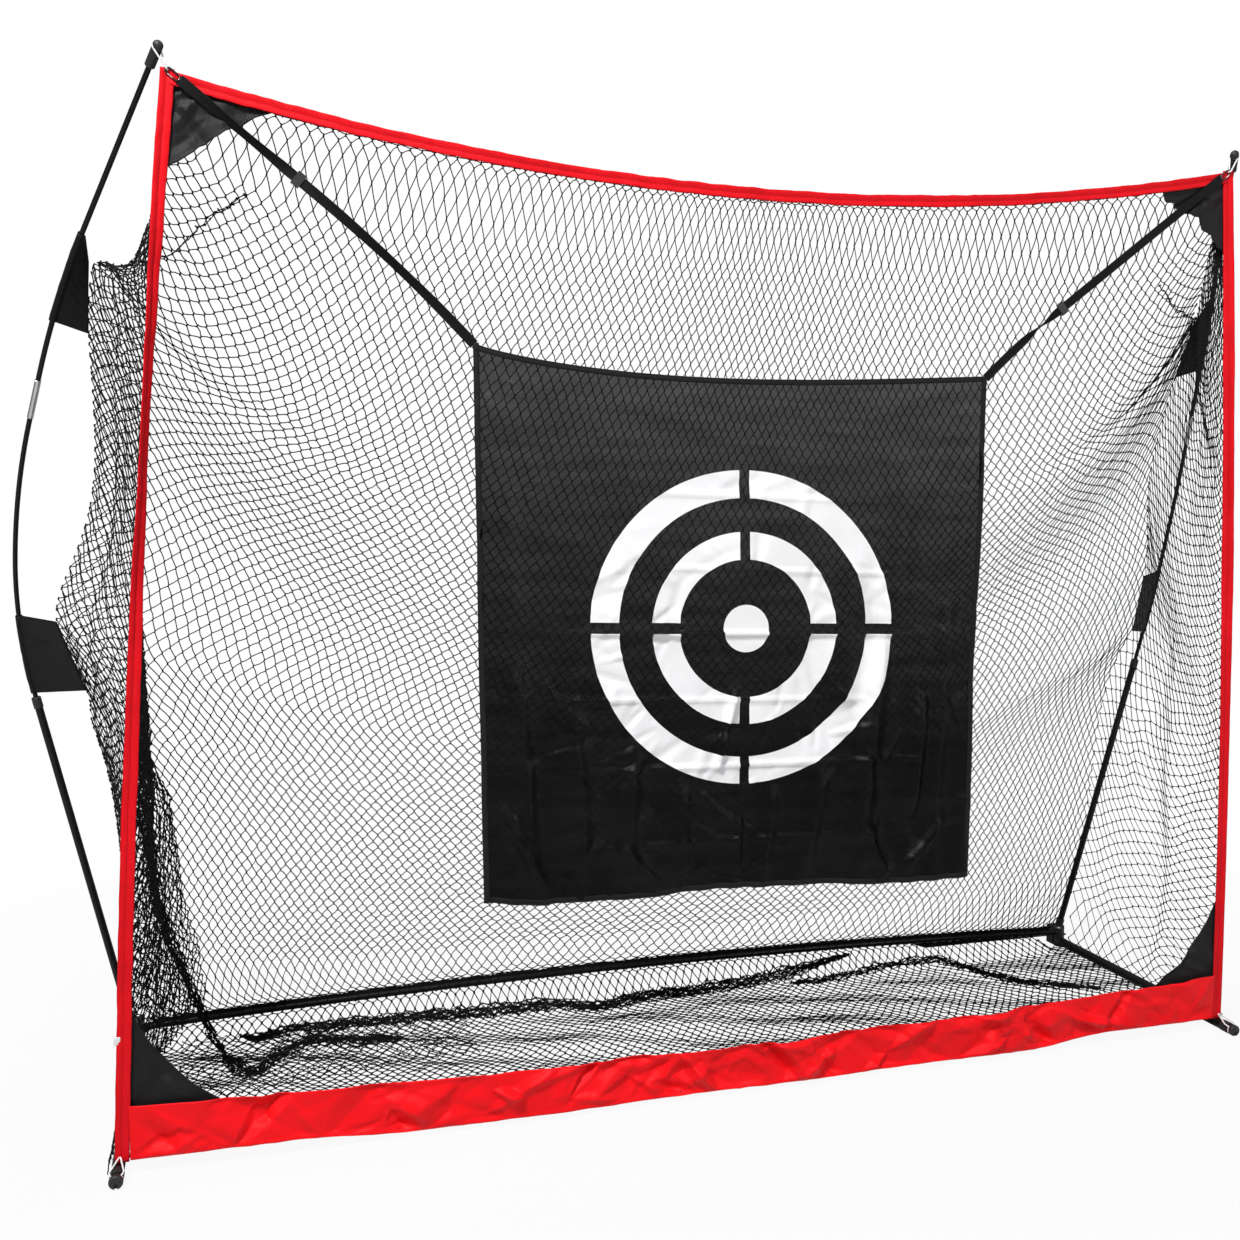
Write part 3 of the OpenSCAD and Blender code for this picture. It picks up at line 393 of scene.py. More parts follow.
def cord_finish(name, colour):
    """Twisted polyester cord: fine slanting lay, dusty highlights and a little unevenness."""
    f = Finish(name, colour, rough=0.78, sheen=0.02, shine=0.12)
    at = f.place()
    lay = f.wave(at, 420, "DIAGONAL", 2.0)
    return f.dress(f.blend(f.noise(at, 14, 2), shade(colour, 0.7), shade(colour, 1.6)), (lay, 0.7, 0.85),
                   lay, 0.5, 0.0006)


def weave_finish(name, colour, thread, rough=0.6, streak=0.25, creased=0.0, shine=0.12, bands=()):
    """Plain woven cloth: crossing threads with a painted highlight on their raised crossings, soft streaks, small
    creases and, where asked, strips of another tone.

    Each of bands is (from, to, gain) across the cloth."""
    f = Finish(name, colour, rough=rough, sheen=0.04, shine=shine)
    at, object_at = f.place(uv=True), f.place()
    threads = f.crossing(at, 2 / thread / (2 * math.pi))
    blotch = f.noise(object_at, 9, 4)
    tone = f.blend(f.times(blotch, streak), shade(colour, 1.0), shade(colour, 0.6))
    # Painted highlight: the colour is made lighter on the raised thread crossings that the bump lifts.
    tone = f.blend(f.times(threads, 0.18), tone, shade(colour, 1.3))
    across = f.node("SeparateXYZ", Vector=at).outputs["Y"] if bands else None
    for low, high, gain in bands:
        tone = f.blend(f.between(across, low, high), tone, shade(colour, gain))
    creases = f.bump(f.ridges(object_at, 26.0, 5.0), creased, 0.004) if creased else None
    return f.dress(tone, (blotch, rough - 0.06, rough + 0.08), threads, 0.35, 0.0004, creases)


def paint_finish(name, colour):
    """Satin paint on tube: fine orange peel, faint scuffs and dusty patches."""
    f = Finish(name, colour, rough=0.38, coat=0.03, shine=0.25)
    scuff = f.noise(f.place(scale=(1, 1, 0.15)), 60, 5, 0.65, 0.52, 0.75)
    return f.dress(f.blend(f.times(scuff, 0.5), (*colour, 1), (*grey(0.014), 1)), (scuff, 0.38, 0.63),
                   f.noise(f.place(), 900, 2), 0.12, 0.0002)


def plastic_finish(name, colour):
    """Moulded plastic with a fine spark-eroded grain and rubbed edges."""
    f = Finish(name, colour, rough=0.5)
    at = f.place()
    grain = f.noise(at, 1500, 3)
    rub = f.noise(at, 45, 4, 0.6, 0.5, 0.8)
    return f.dress(f.blend(f.times(rub, 0.6), (*colour, 1), shade(colour, 2.2)), (grain, 0.42, 0.62),
                   grain, 0.25, 0.0002)


def metal_finish(name, colour, rough):
    """Drawn or plated metal with fine lines along it."""
    f = Finish(name, colour, rough=rough, metal=1.0)
    drawn = f.noise(f.place(scale=(1, 1, 0.02)), 600, 4)
    smudge = f.noise(f.place(), 50, 3)
    return f.dress(f.blend(smudge, shade(colour, 0.82), (*colour, 1)), (drawn, rough - 0.1, rough + 0.15),
                   drawn, 0.15, 0.0002)


net_cord = cord_finish("net_cord", grey(0.0055, 0.0005))
# The red band's darker strips lie on its rolled edges and on the flanks of its middle groove: painted shade.
red_band = weave_finish("red_band", (0.73, 0.0035, 0.010), thread=0.0009, streak=0.5, creased=0.12,
                        bands=[(0.0, 0.05, 0.72), (0.41, 0.47, 0.62), (0.52, 0.545, 0.8), (0.95, 1.0, 0.72)])
red_nylon = weave_finish("red_nylon", (0.90, 0.0042, 0.0088), thread=0.0005, rough=0.34, streak=0.3, creased=0.08,
                         shine=0.15, bands=[(0.0, 0.0095, 1.1)])
patch_cloth = weave_finish("patch_cloth", (0.0085, 0.008, 0.009), thread=0.0006, rough=0.45, creased=0.2, shine=0.2)
tab_cloth = weave_finish("tab_cloth", grey(0.004, 0.0005), thread=0.0006, rough=0.42, creased=0.15, shine=0.2)
hem_tape = weave_finish("hem_tape", grey(0.007, 0.0005), thread=0.0010, rough=0.7)
webbing = weave_finish("strap_webbing", grey(0.006, 0.0005), thread=0.0013, rough=0.66)
sheet_hem_cloth = weave_finish("sheet_hem_cloth", grey(0.011, 0.0005), thread=0.0006)
tag_cloth = weave_finish("tag_cloth", grey(0.80, -0.01), thread=0.0004)
red_thread = cord_finish("red_thread", (0.62, 0.006, 0.012))
black_thread = cord_finish("black_thread", grey(0.012, 0.001))
white_elastic = cord_finish("white_elastic", grey(0.72, -0.03))
tube_paint = paint_finish("tube_paint", grey(0.004, 0.0005))
black_plastic = plastic_finish("black_plastic", grey(0.013, 0.001))
ferrule_metal = metal_finish("ferrule_metal", (0.72, 0.73, 0.74), 0.28)
zinc = metal_finish("zinc", (0.55, 0.56, 0.57), 0.4)
hook_plating = metal_finish("hook_plating", grey(0.09, 0.005), 0.3)

RING_AT = (0.0078, -0.571)          # the rings' middle on the sheet, x across and z down from its top
RING_STRETCH = (1.012, 0.99)
RINGS = [(0.283, 0.3432), (0.1505, 0.2105)]
DISC_R = 0.052
GAP_X, GAP_Z = 0.0112, 0.0115       # half widths of the gaps between the rings' quarters
GAP_SHIFT, GAP_SLANT = 0.0036, 0.013


def sheet_finish():
    """Thin printed polyester: black, with white rings cut by a cross, a fine weave and a faint see-through."""
    f = Finish("sheet_cloth", grey(0.010, 0.0005), rough=0.3, shine=0.12)
    at = f.place(uv=True)
    parts = f.node("SeparateXYZ", Vector=at)
    x, z = (f.times(f.math("SUBTRACT", parts.outputs[key], RING_AT[k]), 1 / RING_STRETCH[k])
            for k, key in enumerate("XY"))
    far = f.math("SQRT", f.math("ADD", f.times(x, x), f.times(z, z)))
    rings = f.math("ADD", *(f.between(far, low, high) for low, high in RINGS))
    gap_x = f.math("ADD", f.math("ADD", x, GAP_SHIFT), f.times(z, GAP_SLANT))
    clear = f.times(*(f.math("GREATER_THAN", f.math("ABSOLUTE", off), half)
                      for off, half in ((gap_x, GAP_X), (z, GAP_Z))))
    print_mask = f.math("ADD", f.times(rings, clear), f.math("LESS_THAN", far, DISC_R))
    object_at = f.place()
    blotch = f.noise(object_at, 5, 4)
    black = f.blend(blotch, (0.001, 0.001, 0.0011, 1), (0.0024, 0.0024, 0.0026, 1))
    white = f.blend(blotch, (0.76, 0.76, 0.77, 1), (0.83, 0.83, 0.83, 1))
    creases = f.bump(f.ridges(object_at, 18.0, 4.0), 0.22, 0.003)
    # The thin cloth's see-through is real; making it grow towards the top, so the top reads lighter against the white
    # behind, is painted light.
    solid = f.range(parts.outputs["Y"], -0.85, -0.02, 0.97, 0.775)
    slanted = f.node("Mapping", Vector=at, Rotation=(0, 0, 0.35), Scale=(5.0, 32.0, 1.0))
    streaks = f.noise(slanted.outputs["Vector"], 1.0, 3)
    solid = f.math("ADD", solid, f.range(streaks, 0, 1, -0.045, 0.015))
    f.to_shader(f.math("MAXIMUM", solid, print_mask), "Alpha")
    return f.dress(f.blend(print_mask, black, white), (blotch, 0.26, 0.36), f.crossing(at, 640), 0.25, 0.0003, creases)


sheet_cloth = sheet_finish()

# ---- camera, light and floor ----

camera_data = bpy.data.cameras.new("camera")
camera_data.sensor_width = 36
camera_data.lens = 37.69
camera_data.clip_end = 60
camera = add_object("camera", camera_data)
right, up, forward = (Vector(v) for v in ((0.95726, -0.28922, 0.00379), (0.02022, 0.08001, 0.99659),
                                          (0.28853, 0.95391, -0.08244)))
turn = Matrix((right, up, -forward)).transposed().to_4x4()
camera.matrix_world = Matrix.Translation((-1.072, -2.610 - MID_Y, 1.294)) @ turn
bpy.context.scene.camera = camera
bpy.context.scene.view_settings.view_transform = "Standard"


def soft_lamp(name, place, aim, size, power):
    data = bpy.data.lights.new(name, "AREA")
    data.shape = "RECTANGLE"
    data.size, data.size_y = size
    data.energy = power
    lamp = add_object(name, data)
    lamp.location = place
    lamp.rotation_euler = (Vector(aim) - Vector(place)).to_track_quat("-Z", "Y").to_euler()


soft_lamp("key_lamp", (-2.6, -2.9, 4.8), (0, 0, 0.8), (0.9, 0.9), 325)
soft_lamp("fill_lamp", (2.6, -3.6, 2.2), (0, 0, 0.9), (0.7, 2.2), 38)
soft_lamp("top_lamp", (0, 1.2, 4.6), (0, 0, 0.5), (3.0, 2.0), 34)


def seen_share(tree):
    """1 where the camera looks at the surface, straight or through a clear one."""
    path = add_node(tree, "LightPath")
    seen = add_node(tree, "Math", operation="MAXIMUM")
    for k, ray in enumerate(("Is Camera Ray", "Is Transmission Ray")):
        tree.links.new(path.outputs[ray], seen.inputs[k])
    return seen.outputs[0]


def mix_shaders(tree, share, first, second, output):
    both = add_node(tree, "MixShader", Fac=share)
    tree.links.new(first.outputs[0], both.inputs[1])
    tree.links.new(second.outputs[0], both.inputs[2])
    tree.links.new(both.outputs["Shader"], tree.nodes[output].inputs["Surface"])


# A dome that is brighter overhead lights the net. The camera sees plain white instead.
world = bpy.data.worlds.new("studio")
bpy.context.scene.world = world
world.use_nodes = True
tree = world.node_tree
heading = add_node(tree, "SeparateXYZ", Vector=add_node(tree, "TexCoord").outputs["Generated"])
sky = add_node(tree, "MapRange", Value=heading.outputs["Z"], From_Min=-0.15, From_Max=0.9, To_Min=0.10, To_Max=0.41)
dome = add_node(tree, "Background", Color=(0.95, 0.97, 1, 1), Strength=sky.outputs["Result"])
backdrop = tree.nodes["Background"]
join(tree, (1, 1, 1, 1), backdrop.inputs["Color"])
join(tree, 1, backdrop.inputs["Strength"])
mix_shaders(tree, seen_share(tree), dome, backdrop, "World Output")

# The floor glows white far off and keeps a faint shadow under the net.
bpy.ops.mesh.primitive_plane_add(size=60, location=(0, 0, 0))
floor = bpy.context.active_object
floor.name = "floor"
floor_paint = Finish("floor_paint", grey(0.55), rough=0.9, shine=0.1)
floor_at = add_node(floor_paint.tree, "TexCoord").outputs["Object"]
far = floor_paint.node("VectorMath", operation="LENGTH", Vector=floor_at).outputs["Value"]
white_share = floor_paint.times(seen_share(floor_paint.tree), floor_paint.range(far, 1.5, 2.8, 0.93, 1.0))
mix_shaders(floor_paint.tree, white_share, floor_paint.shader, floor_paint.node("Emission", Strength=1),
            "Material Output")
floor.data.materials.append(floor_paint.material)

# ---- finishes of the frame's own parts ----

FINISH_OF = {
    "black_tube": tube_paint, "spigot_steel": zinc, "black_plastic": black_plastic, "pin_steel": zinc,
    "ferrule_metal": ferrule_metal, "hook_metal": hook_plating, "gate_metal": zinc,
}
for part in frame["record"]["subparts"]:
    finish = FINISH_OF.get(part["material_slot"])
    if finish:
        for slot in NODES[part["node"]].material_slots:
            slot.material = finish

# ---- the pole's line ----

# (length, bend radius) of each run from the foot up, 0 for a straight one
POLE_RUNS = [(0.867, 0), (0.330, 0.849 * 0.33 / 0.34), (0.330, 1.374 * 0.33 / 0.34), (0.110, 0),
             (0.350, 1.888 * 0.35 / 0.36), (0.401, 0)]
POLE_LENGTH = sum(length for length, _ in POLE_RUNS)
POLE_LEAN, POLE_DIR, BEND_DIR = (math.radians(a) for a in (13.4, 23.7, 223.9))
POLE_FOOT = np.array([1.317, 0.693, 0.027])


def pole_point(s):
    """Place of the right pole's centre s metres along it, and its heading."""
    x = z = a = 0.0
    for length, r in POLE_RUNS:
        d = min(s, length)
        if r:
            x, z, a = (x + r * (math.cos(a) - math.cos(a + d / r)),
                       z + r * (math.sin(a + d / r) - math.sin(a)), a + d / r)
        else:
            x, z = x + d * math.sin(a), z + d * math.cos(a)
        s -= d
        if s <= 1e-9:
            break

    def turned(v):
        spin = Matrix.Rotation(-POLE_DIR, 3, "Z") @ Matrix.Rotation(POLE_LEAN, 3, "Y")
        return np.array(spin @ Matrix.Rotation(BEND_DIR + POLE_DIR, 3, "Z") @ Vector(v))

    return POLE_FOOT + turned((x, 0, z)), turned((math.sin(a), 0, math.cos(a)))


def pole_length_at(z):
    """How far along the pole it reaches a height."""
    low, high = 0.0, POLE_LENGTH
    for _ in range(40):
        middle = (low + high) / 2
        low, high = (middle, high) if pole_point(middle)[0][2] < z else (low, middle)
    return low


# ---- net surfaces ----

TAB_LOW = {LEFT: 0.967, RIGHT: 1.040}       # middle height of the lower tabs
TAB_HALF = 0.080
TAB_HIGH = (1.655, 1.787)                   # from and to height of the upper tabs
TAB_ROWS = (0.4, 7 / 15, 11 / 15, 0.8)      # the net's rows at the ends of both tabs, as shares of all
EDGE_FOOT_Z = 0.04
EDGE_POLE = pole_point(sum(length for length, _ in POLE_RUNS[:4]) + 0.150)[0]
EDGE_FOOT = (HALF_W + 0.010, DEPTH - 0.020)
EDGE_HEAD = (EDGE_POLE[0] - 0.060, EDGE_POLE[1] + 0.004)
RIDGE_FOOT = np.array([EDGE_HEAD[0] - 0.010, EDGE_HEAD[1] - 0.056, TAB_HIGH[1]])
RIDGE = [RIDGE_FOOT, (1.3010, 0.205, 1.7860), (1.2872, 0.175, 1.7729), (1.2564, 0.130, 1.7667),
         (1.2296, 0.090, 1.7903), (1.2108, 0.060, 1.8249), (1.1955, 0.035, 1.8521), (1.1701, -0.020, 1.9554),
         (BAND_HEAD[0] - 0.006, mouth_y(BAND_HEAD[1]) + 0.014, BAND_HEAD[1] - 0.040)]


def upright_edge(z, side):
    """The rear upright edge of the net on the right-hand side, drawn out at the lower tab."""
    tab = TAB_LOW[side]
    below = z < tab
    t = (z - EDGE_FOOT_Z) / (TAB_HIGH[0] - EDGE_FOOT_Z)
    d = max(0.0, abs(z - tab) - TAB_HALF)
    near_x = math.exp(-d / 0.16) if below else math.exp(-(d / 0.22) ** 2)
    near_y = math.exp(-(d / 0.44) ** 2)
    slant = 0.0
    if side == LEFT:
        near_tab = math.exp(-(d / (0.05 if below else 0.12)) ** 2)
        slant = (0.0255 * max(-1.0, min(1.0, (z - tab) / TAB_HALF)) - 0.0055) * near_tab
    return np.array([mix(EDGE_FOOT[0], EDGE_HEAD[0], t) + (0.088 + 0.010 * t) * near_x + slant,
                     mix(EDGE_FOOT[1], EDGE_HEAD[1], t) + 0.098 * near_y, z])


def edge_table(side):
    """The net's edge from the floor to the top corner at equal steps of its row number."""
    heights = (0.06, TAB_LOW[side] - TAB_HALF, TAB_LOW[side] + TAB_HALF, TAB_HIGH[0])
    ridge = evenly(smooth_line(RIDGE, 8), 60)
    edge = []
    for t in np.linspace(0, 1, 301):
        if t <= TAB_ROWS[2]:
            p = upright_edge(np.interp(t, (0, *TAB_ROWS[:3]), heights), side)
        elif t <= TAB_ROWS[3]:
            p = mix(upright_edge(TAB_HIGH[0], side), RIDGE_FOOT, (t - TAB_ROWS[2]) / (TAB_ROWS[3] - TAB_ROWS[2]))
        else:
            p = ridge[int(round((t - TAB_ROWS[3]) * 5 * (len(ridge) - 1)))]     # the top fifth of the rows
        edge.append(p)
    edge = np.array(edge)
    for k in range(3):
        edge[2:-2, k] = np.convolve(edge[:, k], np.ones(5) / 5, "valid")
    edge[:, 0] *= side
    return edge


EDGES = {side: edge_table(side) for side in SIDES}


def edge_at(t, side):
    """The net's rear edge at the share t of its rows."""
    return read_line(t, np.linspace(0, 1, len(EDGES[side])), EDGES[side])


def back_foot(x):
    """Where the back net is sewn to the rear tape."""
    return np.stack([x, np.full_like(x, DEPTH), rear_z(x) + 0.0150], -1)


def back_head(x):
    """Where the back net meets the top band."""
    return np.stack([x, mouth_y(top_z(x)) + 0.009, top_z(x) - 0.009], -1)


COLUMN_LEAN, ROW_CLIMB, BACK_SLACK = 0.075, 0.16, 0.040


def back_net(u, t):
    """u from 0 to 1 across, t from 0 to 1 upwards. The columns lean towards the middle at the top."""
    u = 2 * u - 1
    wide = np.abs(u)
    u = u - np.sign(u) * COLUMN_LEAN * (2 * t - 1) * 4 * wide * (1 - wide)
    wide = np.abs(u)
    climb = np.clip(t + ROW_CLIMB * np.sin(np.pi * t), 0, 1)
    edge = np.where((u < 0)[..., None], edge_at(climb, LEFT), edge_at(climb, RIGHT))
    middle = mix(back_foot(np.zeros_like(u)), back_head(np.zeros_like(u)), t[..., None])
    slack = BACK_SLACK * np.sin(np.pi * t) * (1 - u * u)
    rise = wide ** (2 + 3.5 * ease((t - 0.36) / 0.48))
    body = np.stack([wide * edge[..., 0], mix(middle[..., 1], edge[..., 1], wide ** 3) - slack,
                     mix(middle[..., 2], edge[..., 2], rise)], -1)
    body = mix(back_foot(u * (HALF_W - 0.03)), body, ease(t / 0.05)[..., None])
    return mix(body, back_head(u * TOP_END[0]), ease((t - 0.93) / 0.07)[..., None])


def side_net(side):
    along_x = HALF_W + 0.019        # where the net is tied along the side bar
    fullness, bow = (0.13, 1.7) if side == RIGHT else (0.0, 1.0)

    def surface(u, t):
        """u from 0 at the band to 1 at the rear edge, t from 0 to 1 upwards."""
        z = mix(0.008, BAND_HEAD[1] - 0.07, t)
        front = np.stack([side * (mix(along_x, band_x(z), ease(t / 0.05))), mouth_y(z) + 0.006, z], -1)
        rear = edge_at(np.clip(t + fullness * np.sin(np.pi * t), 0, 1), side)
        rear = mix(np.array([side * along_x, DEPTH - 0.022, 0.008]), rear, ease(t / 0.04)[..., None])
        p = mix(front, rear, u[..., None])
        p[..., 2] = mix(front[..., 2], rear[..., 2], u ** bow)
        p[..., 0] -= side * 0.010 * np.sin(np.pi * u) * np.sin(np.pi * t)
        return p
    return surface


def floor_net(u, t):
    """u across, t from the skirt to the rear bar."""
    x = (HALF_W + 0.016) * (2 * u - 1) * (1 - 0.024 * (1 - ease(t / 0.10)))
    t = t + 0.035 * np.sin(5.3 * x + 1.0) * np.sin(np.pi * t)
    climb = ease((t - 0.90) / 0.10) * (1 - ease((np.abs(x) - 1.20) / 0.06))
    y = mix(0.004, DEPTH - 0.022, t) + 0.014 * climb
    lift = (skirt_low(x) + 0.002) * (1 - ease(t / 0.10))
    hills = 0.007 * (1 + np.sin(11 * x + 9 * t) * np.sin(17 * t + 3 * x)) * np.sin(np.pi * t)
    return np.stack([x, y, 0.0040 + lift + hills + (rear_z(x) - 0.013) * climb], -1)


def knotted(surface, cols, rows, seed, low, power, stray):
    """Knot places of a diamond mesh over a surface, each knot's heading, and which knots every strand joins.

    low is the height of the lowest cells as a share of the mean; the cells grow upwards with power."""
    r, c = np.meshgrid(np.arange(2 * rows + 1), np.arange(2 * cols + 1), indexing="ij")
    keep = (r + c) % 2 == 0
    u, t = c / (2 * cols), r / (2 * rows)
    step = 0.25 / rows
    wander = 0.6 * np.sin(np.pi * u) ** 0.3 * np.sin(np.pi * t) ** 0.3      # in cells, none at the edges
    across = np.clip(u + smooth_noise(u.shape, (4, 5), seed, 2) * wander / cols, 0, 1)
    t = t * low + (1 - low) * t ** (power + 1)
    up = np.clip(t + smooth_noise(u.shape, (4, 5), seed + 50, 2) * wander / rows, 0, 1)
    points = surface(across, up)
    way = unit(surface(across, np.clip(up + step, 0, 1)) - surface(across, np.clip(up - step, 0, 1)))
    loose = np.random.default_rng(seed + 9).normal(0, stray, points.shape)
    edge = (r == 0) | (r == 2 * rows) | (c == 0) | (c == 2 * cols)
    points = points + loose * np.where(edge, 0.15, 1.0)[..., None]
    number = np.full(keep.shape, -1)
    number[keep] = np.arange(keep.sum())
    joins = []
    for dc in (-1, 1):
        rr, cc = np.nonzero(keep[:-1, :])
        ok = (cc + dc >= 0) & (cc + dc <= 2 * cols)
        rr, cc = rr[ok], cc[ok]
        joins.append(np.stack([number[rr, cc], number[rr + 1, cc + dc]], 1))
    return points[keep], way[keep], np.concatenate(joins)


def gather(points, line, reach, pull, lift=0.0):
    """Draws knots towards a crease line, which bunches the net there."""
    best = np.full(len(points), 1e9)
    near = np.zeros_like(points)
    for q in soft_path(line, 120):
        d = np.linalg.norm(points - q, axis=1)
        closer = d < best
        best[closer] = d[closer]
        near[closer] = q
    share = (pull * np.exp(-(best / reach) ** 2))[:, None]
    return points + (near - points) * share + np.array([0, 0, 1]) * lift * share


def split_net(name, surface, cols, rows, seed, parts=1, node=None, shape=None, low=1.0, power=1.0,
              stray=0.0008, **strands):
    """Makes a net in parts side by side, so that none grows too heavy."""
    points, way, joins = knotted(surface, cols, rows, seed, low, power, stray)
    if shape:
        points = shape(points)
    at = points[:, 0]
    cuts = np.quantile(at, np.linspace(0, 1, parts + 1))
    cuts[0], cuts[-1] = -9, 9
    middle = at[joins].mean(axis=1)
    for k in range(parts):
        mine = joins[(middle >= cuts[k]) & (middle < cuts[k + 1])]
        knots = np.nonzero((at >= cuts[k]) & (at < cuts[k + 1]))[0]
        piece = net_part(f"{name}_{k + 1}", points, way, mine, knots, seed + k, **strands)
        finish_piece(piece, "net_cord", *([node] if node else []))


KNOT = 0.0032           # half a knot's length
INTO_KNOT = 0.002       # how far a strand runs into it


def net_part(name, points, way, joins, knots, seed, radius=0.00125, knot_radius=0.0021, sag=0.0):
    """Strands from knot to knot and the knots themselves, as one mesh. With sag, strands bend at random."""
    r = np.random.default_rng(seed)
    ways = way[joins]
    a = points[joins[:, 0]] + ways[:, 0] * KNOT
    b = points[joins[:, 1]] - ways[:, 1] * KNOT
    far = np.linalg.norm(b - a, axis=1, keepdims=True)
    swing = r.normal(0, 1, a.shape) * np.minimum(sag, far * 0.05)
    bend = [(a + b) / 2 + swing] if sag else []
    line = np.stack([a - ways[:, 0] * INTO_KNOT] + bend + [b + ways[:, 1] * INTO_KNOT], 1)
    v1, f1 = rings_to_mesh(round_rings(line, np.full(line.shape[1], radius)))
    tilt = unit(way[knots] + r.normal(0, 0.12, (len(knots), 3)))
    line = points[knots][:, None, :] + tilt[:, None, :] * (KNOT * np.array([-1.25, 0.0, 1.25]))[None, :, None]
    v2, f2 = rings_to_mesh(round_rings(line, np.array([0.6, 1.0, 0.6]) * knot_radius))
    return mesh_piece(name, np.concatenate([v1, v2]), np.concatenate([f1, f2 + len(v1)]), net_cord)


def round_rings(line, radius):
    """Four-sided rings along many short lines at once."""
    way = unit(np.gradient(line, axis=1))
    out = unit(np.cross(way, np.array([0.31, 0.85, 0.42])))
    turn = (np.pi / 2 * np.arange(4) + np.pi / 4)[None, None, :, None]
    return line[:, :, None, :] + radius[None, :, None, None] * (
        out[:, :, None, :] * np.cos(turn) + np.cross(way, out)[:, :, None, :] * np.sin(turn))


def on_floor(*places):
    """A line of (x, y) places that lies a cord's height over the floor."""
    return [(x, y, 0.015) for x, y in places]


# Lines along which spare net bunches up, each from one end to the other.
TAB_CREASE = {
    LEFT: [(-1.304, 0.23, 1.790), (-1.261, 0.20, 1.780), (-1.177, 0.12, 1.786), (-1.144, 0.10, 1.807),
           (-1.110, 0.08, 1.845), (-1.068, 0.05, 1.870), (-1.026, 0.03, 1.896)],
    RIGHT: [(1.322, 0.20, 1.796), (1.257, 0.15, 1.787), (1.195, 0.12, 1.799), (1.127, 0.09, 1.840),
            (1.107, 0.08, 1.847)],
}
LEFT_FOLD = [(-1.273, 0.50, 1.028), (-1.265, 0.50, 0.898), (-1.264, 0.50, 0.788), (-1.264, 0.48, 0.661),
             (-1.257, 0.46, 0.531), (-1.240, 0.45, 0.415), (-1.212, 0.44, 0.309), (-1.183, 0.44, 0.222),
             (-1.157, 0.44, 0.160), (-1.130, 0.47, 0.070), (-1.103, 0.502, 0.018)]
LEFT_FLOOR_FOLD = on_floor((-1.103, 0.502), (-1.067, 0.411), (-1.040, 0.369), (-1.013, 0.395), (-0.979, 0.465),
                           (-0.943, 0.503), (-0.895, 0.525), (-0.787, 0.500), (-0.694, 0.473))
SLACK_EDGE = [(-1.262, 0.50, 1.093), (-1.257, 0.50, 0.788), (-1.236, 0.50, 0.699), (-1.215, 0.50, 0.654),
              (-1.201, 0.50, 0.562), (-1.191, 0.50, 0.472), (-1.184, 0.50, 0.396), (-1.156, 0.50, 0.294),
              (-1.149, 0.50, 0.221), (-1.136, 0.50, 0.170)]
REAR_FLOOR_FOLD = on_floor((-1.065, 0.600), (-1.017, 0.581), (-0.962, 0.606), (-0.936, 0.610), (-0.787, 0.609),
                           (-0.599, 0.606), (-0.423, 0.592), (-0.266, 0.581), (-0.158, 0.550), (-0.030, 0.574),
                           (0.096, 0.587), (0.226, 0.599)) + [(0.374, 0.620, 0.020), (0.590, 0.634, 0.050)]
RIGHT_FLOOR_FOLD = on_floor((0.386, 0.557), (0.555, 0.580), (0.700, 0.613), (0.858, 0.622), (0.883, 0.586),
                            (0.941, 0.468), (1.021, 0.372), (1.159, 0.278))
RIGHT_WALL_FOLD = [(1.286, 0.24, 0.72), (1.290, 0.22, 0.55), (1.292, 0.20, 0.38), (1.285, 0.21, 0.20),
                   (1.270, 0.25, 0.06), (1.200, 0.265, 0.016)]


# How each net gives way to the bunches near it.

def shape_back(points):
    for side in SIDES:
        points = gather(points, TAB_CREASE[side], 0.045, 0.6)
    return gather(points, LEFT_FOLD[:9], 0.04, 0.45)


def shape_left(points):
    points = gather(points, TAB_CREASE[LEFT][:3], 0.045, 0.6)
    return gather(points, LEFT_FOLD, 0.04, 0.45)


def shape_right(points):
    return gather(points, RIGHT_WALL_FOLD, 0.06, 0.6)


def shape_floor(points):
    moved = points
    for line in (LEFT_FLOOR_FOLD, REAR_FLOOR_FOLD, RIGHT_FLOOR_FOLD):
        moved = gather(moved, line, 0.035, 0.5, 0.006)
    behind = ease((points[:, 1:2] - 0.615) / 0.02)      # left in place beside the rear bar
    return mix(points, moved, 1 - behind)


def net_fold(name, line, passes, width, height, seed, outwards=(0.0, -0.3, 1.0)):
    """Spare net bunched into a narrow rope: the same diamonds laid to and fro many times."""
    line = soft_path(line, 200)
    length = distances(line)[-1]
    heading = unit(np.gradient(line, axis=0))
    across = unit(np.cross(heading, outwards))
    high = np.cross(across, heading)
    grid = np.linspace(0, 1, len(line))
    swell = 0.85 + 0.4 * noise_line(len(line), length / 0.07, seed, 2)
    swell = swell * ease(grid / 0.12) ** 0.6 * ease((1 - grid) / 0.12) ** 0.6 + 0.08
    drift = noise_line(len(line), length / 0.10, seed + 4, 2)
    line = line + across * (0.007 * drift)[:, None]

    def surface(u, t):
        size = np.interp(u, grid, swell)[..., None]
        to_and_fro = np.abs(np.mod(t * passes + 0.5 * u * 7, 2) - 1)[..., None]
        return (read_line(u, grid, line) + read_line(u, grid, across) * (t[..., None] - 0.5) * width * size
                + read_line(u, grid, high) * (to_and_fro - 0.5) * height * size)

    split_net(name, surface, max(6, int(length / 0.028)), passes, seed, stray=0.0030, radius=0.0013)


def slack_net(rear_line, low, high, bulge):
    """A loose inner layer of net between the left band and a line further back."""
    rear_line = soft_path(rear_line, 200)
    grid = np.linspace(0, 1, len(rear_line))

    def surface(u, t):
        z = mix(low, high, t)
        front = np.stack([-(band_x(z) - 0.004), mouth_y(z) + 0.014, z], -1)
        p = mix(front, read_line(t, grid, rear_line), u[..., None])
        p[..., 0] += bulge * np.sin(np.pi * u) * np.sin(np.pi * t)
        return p
    return surface


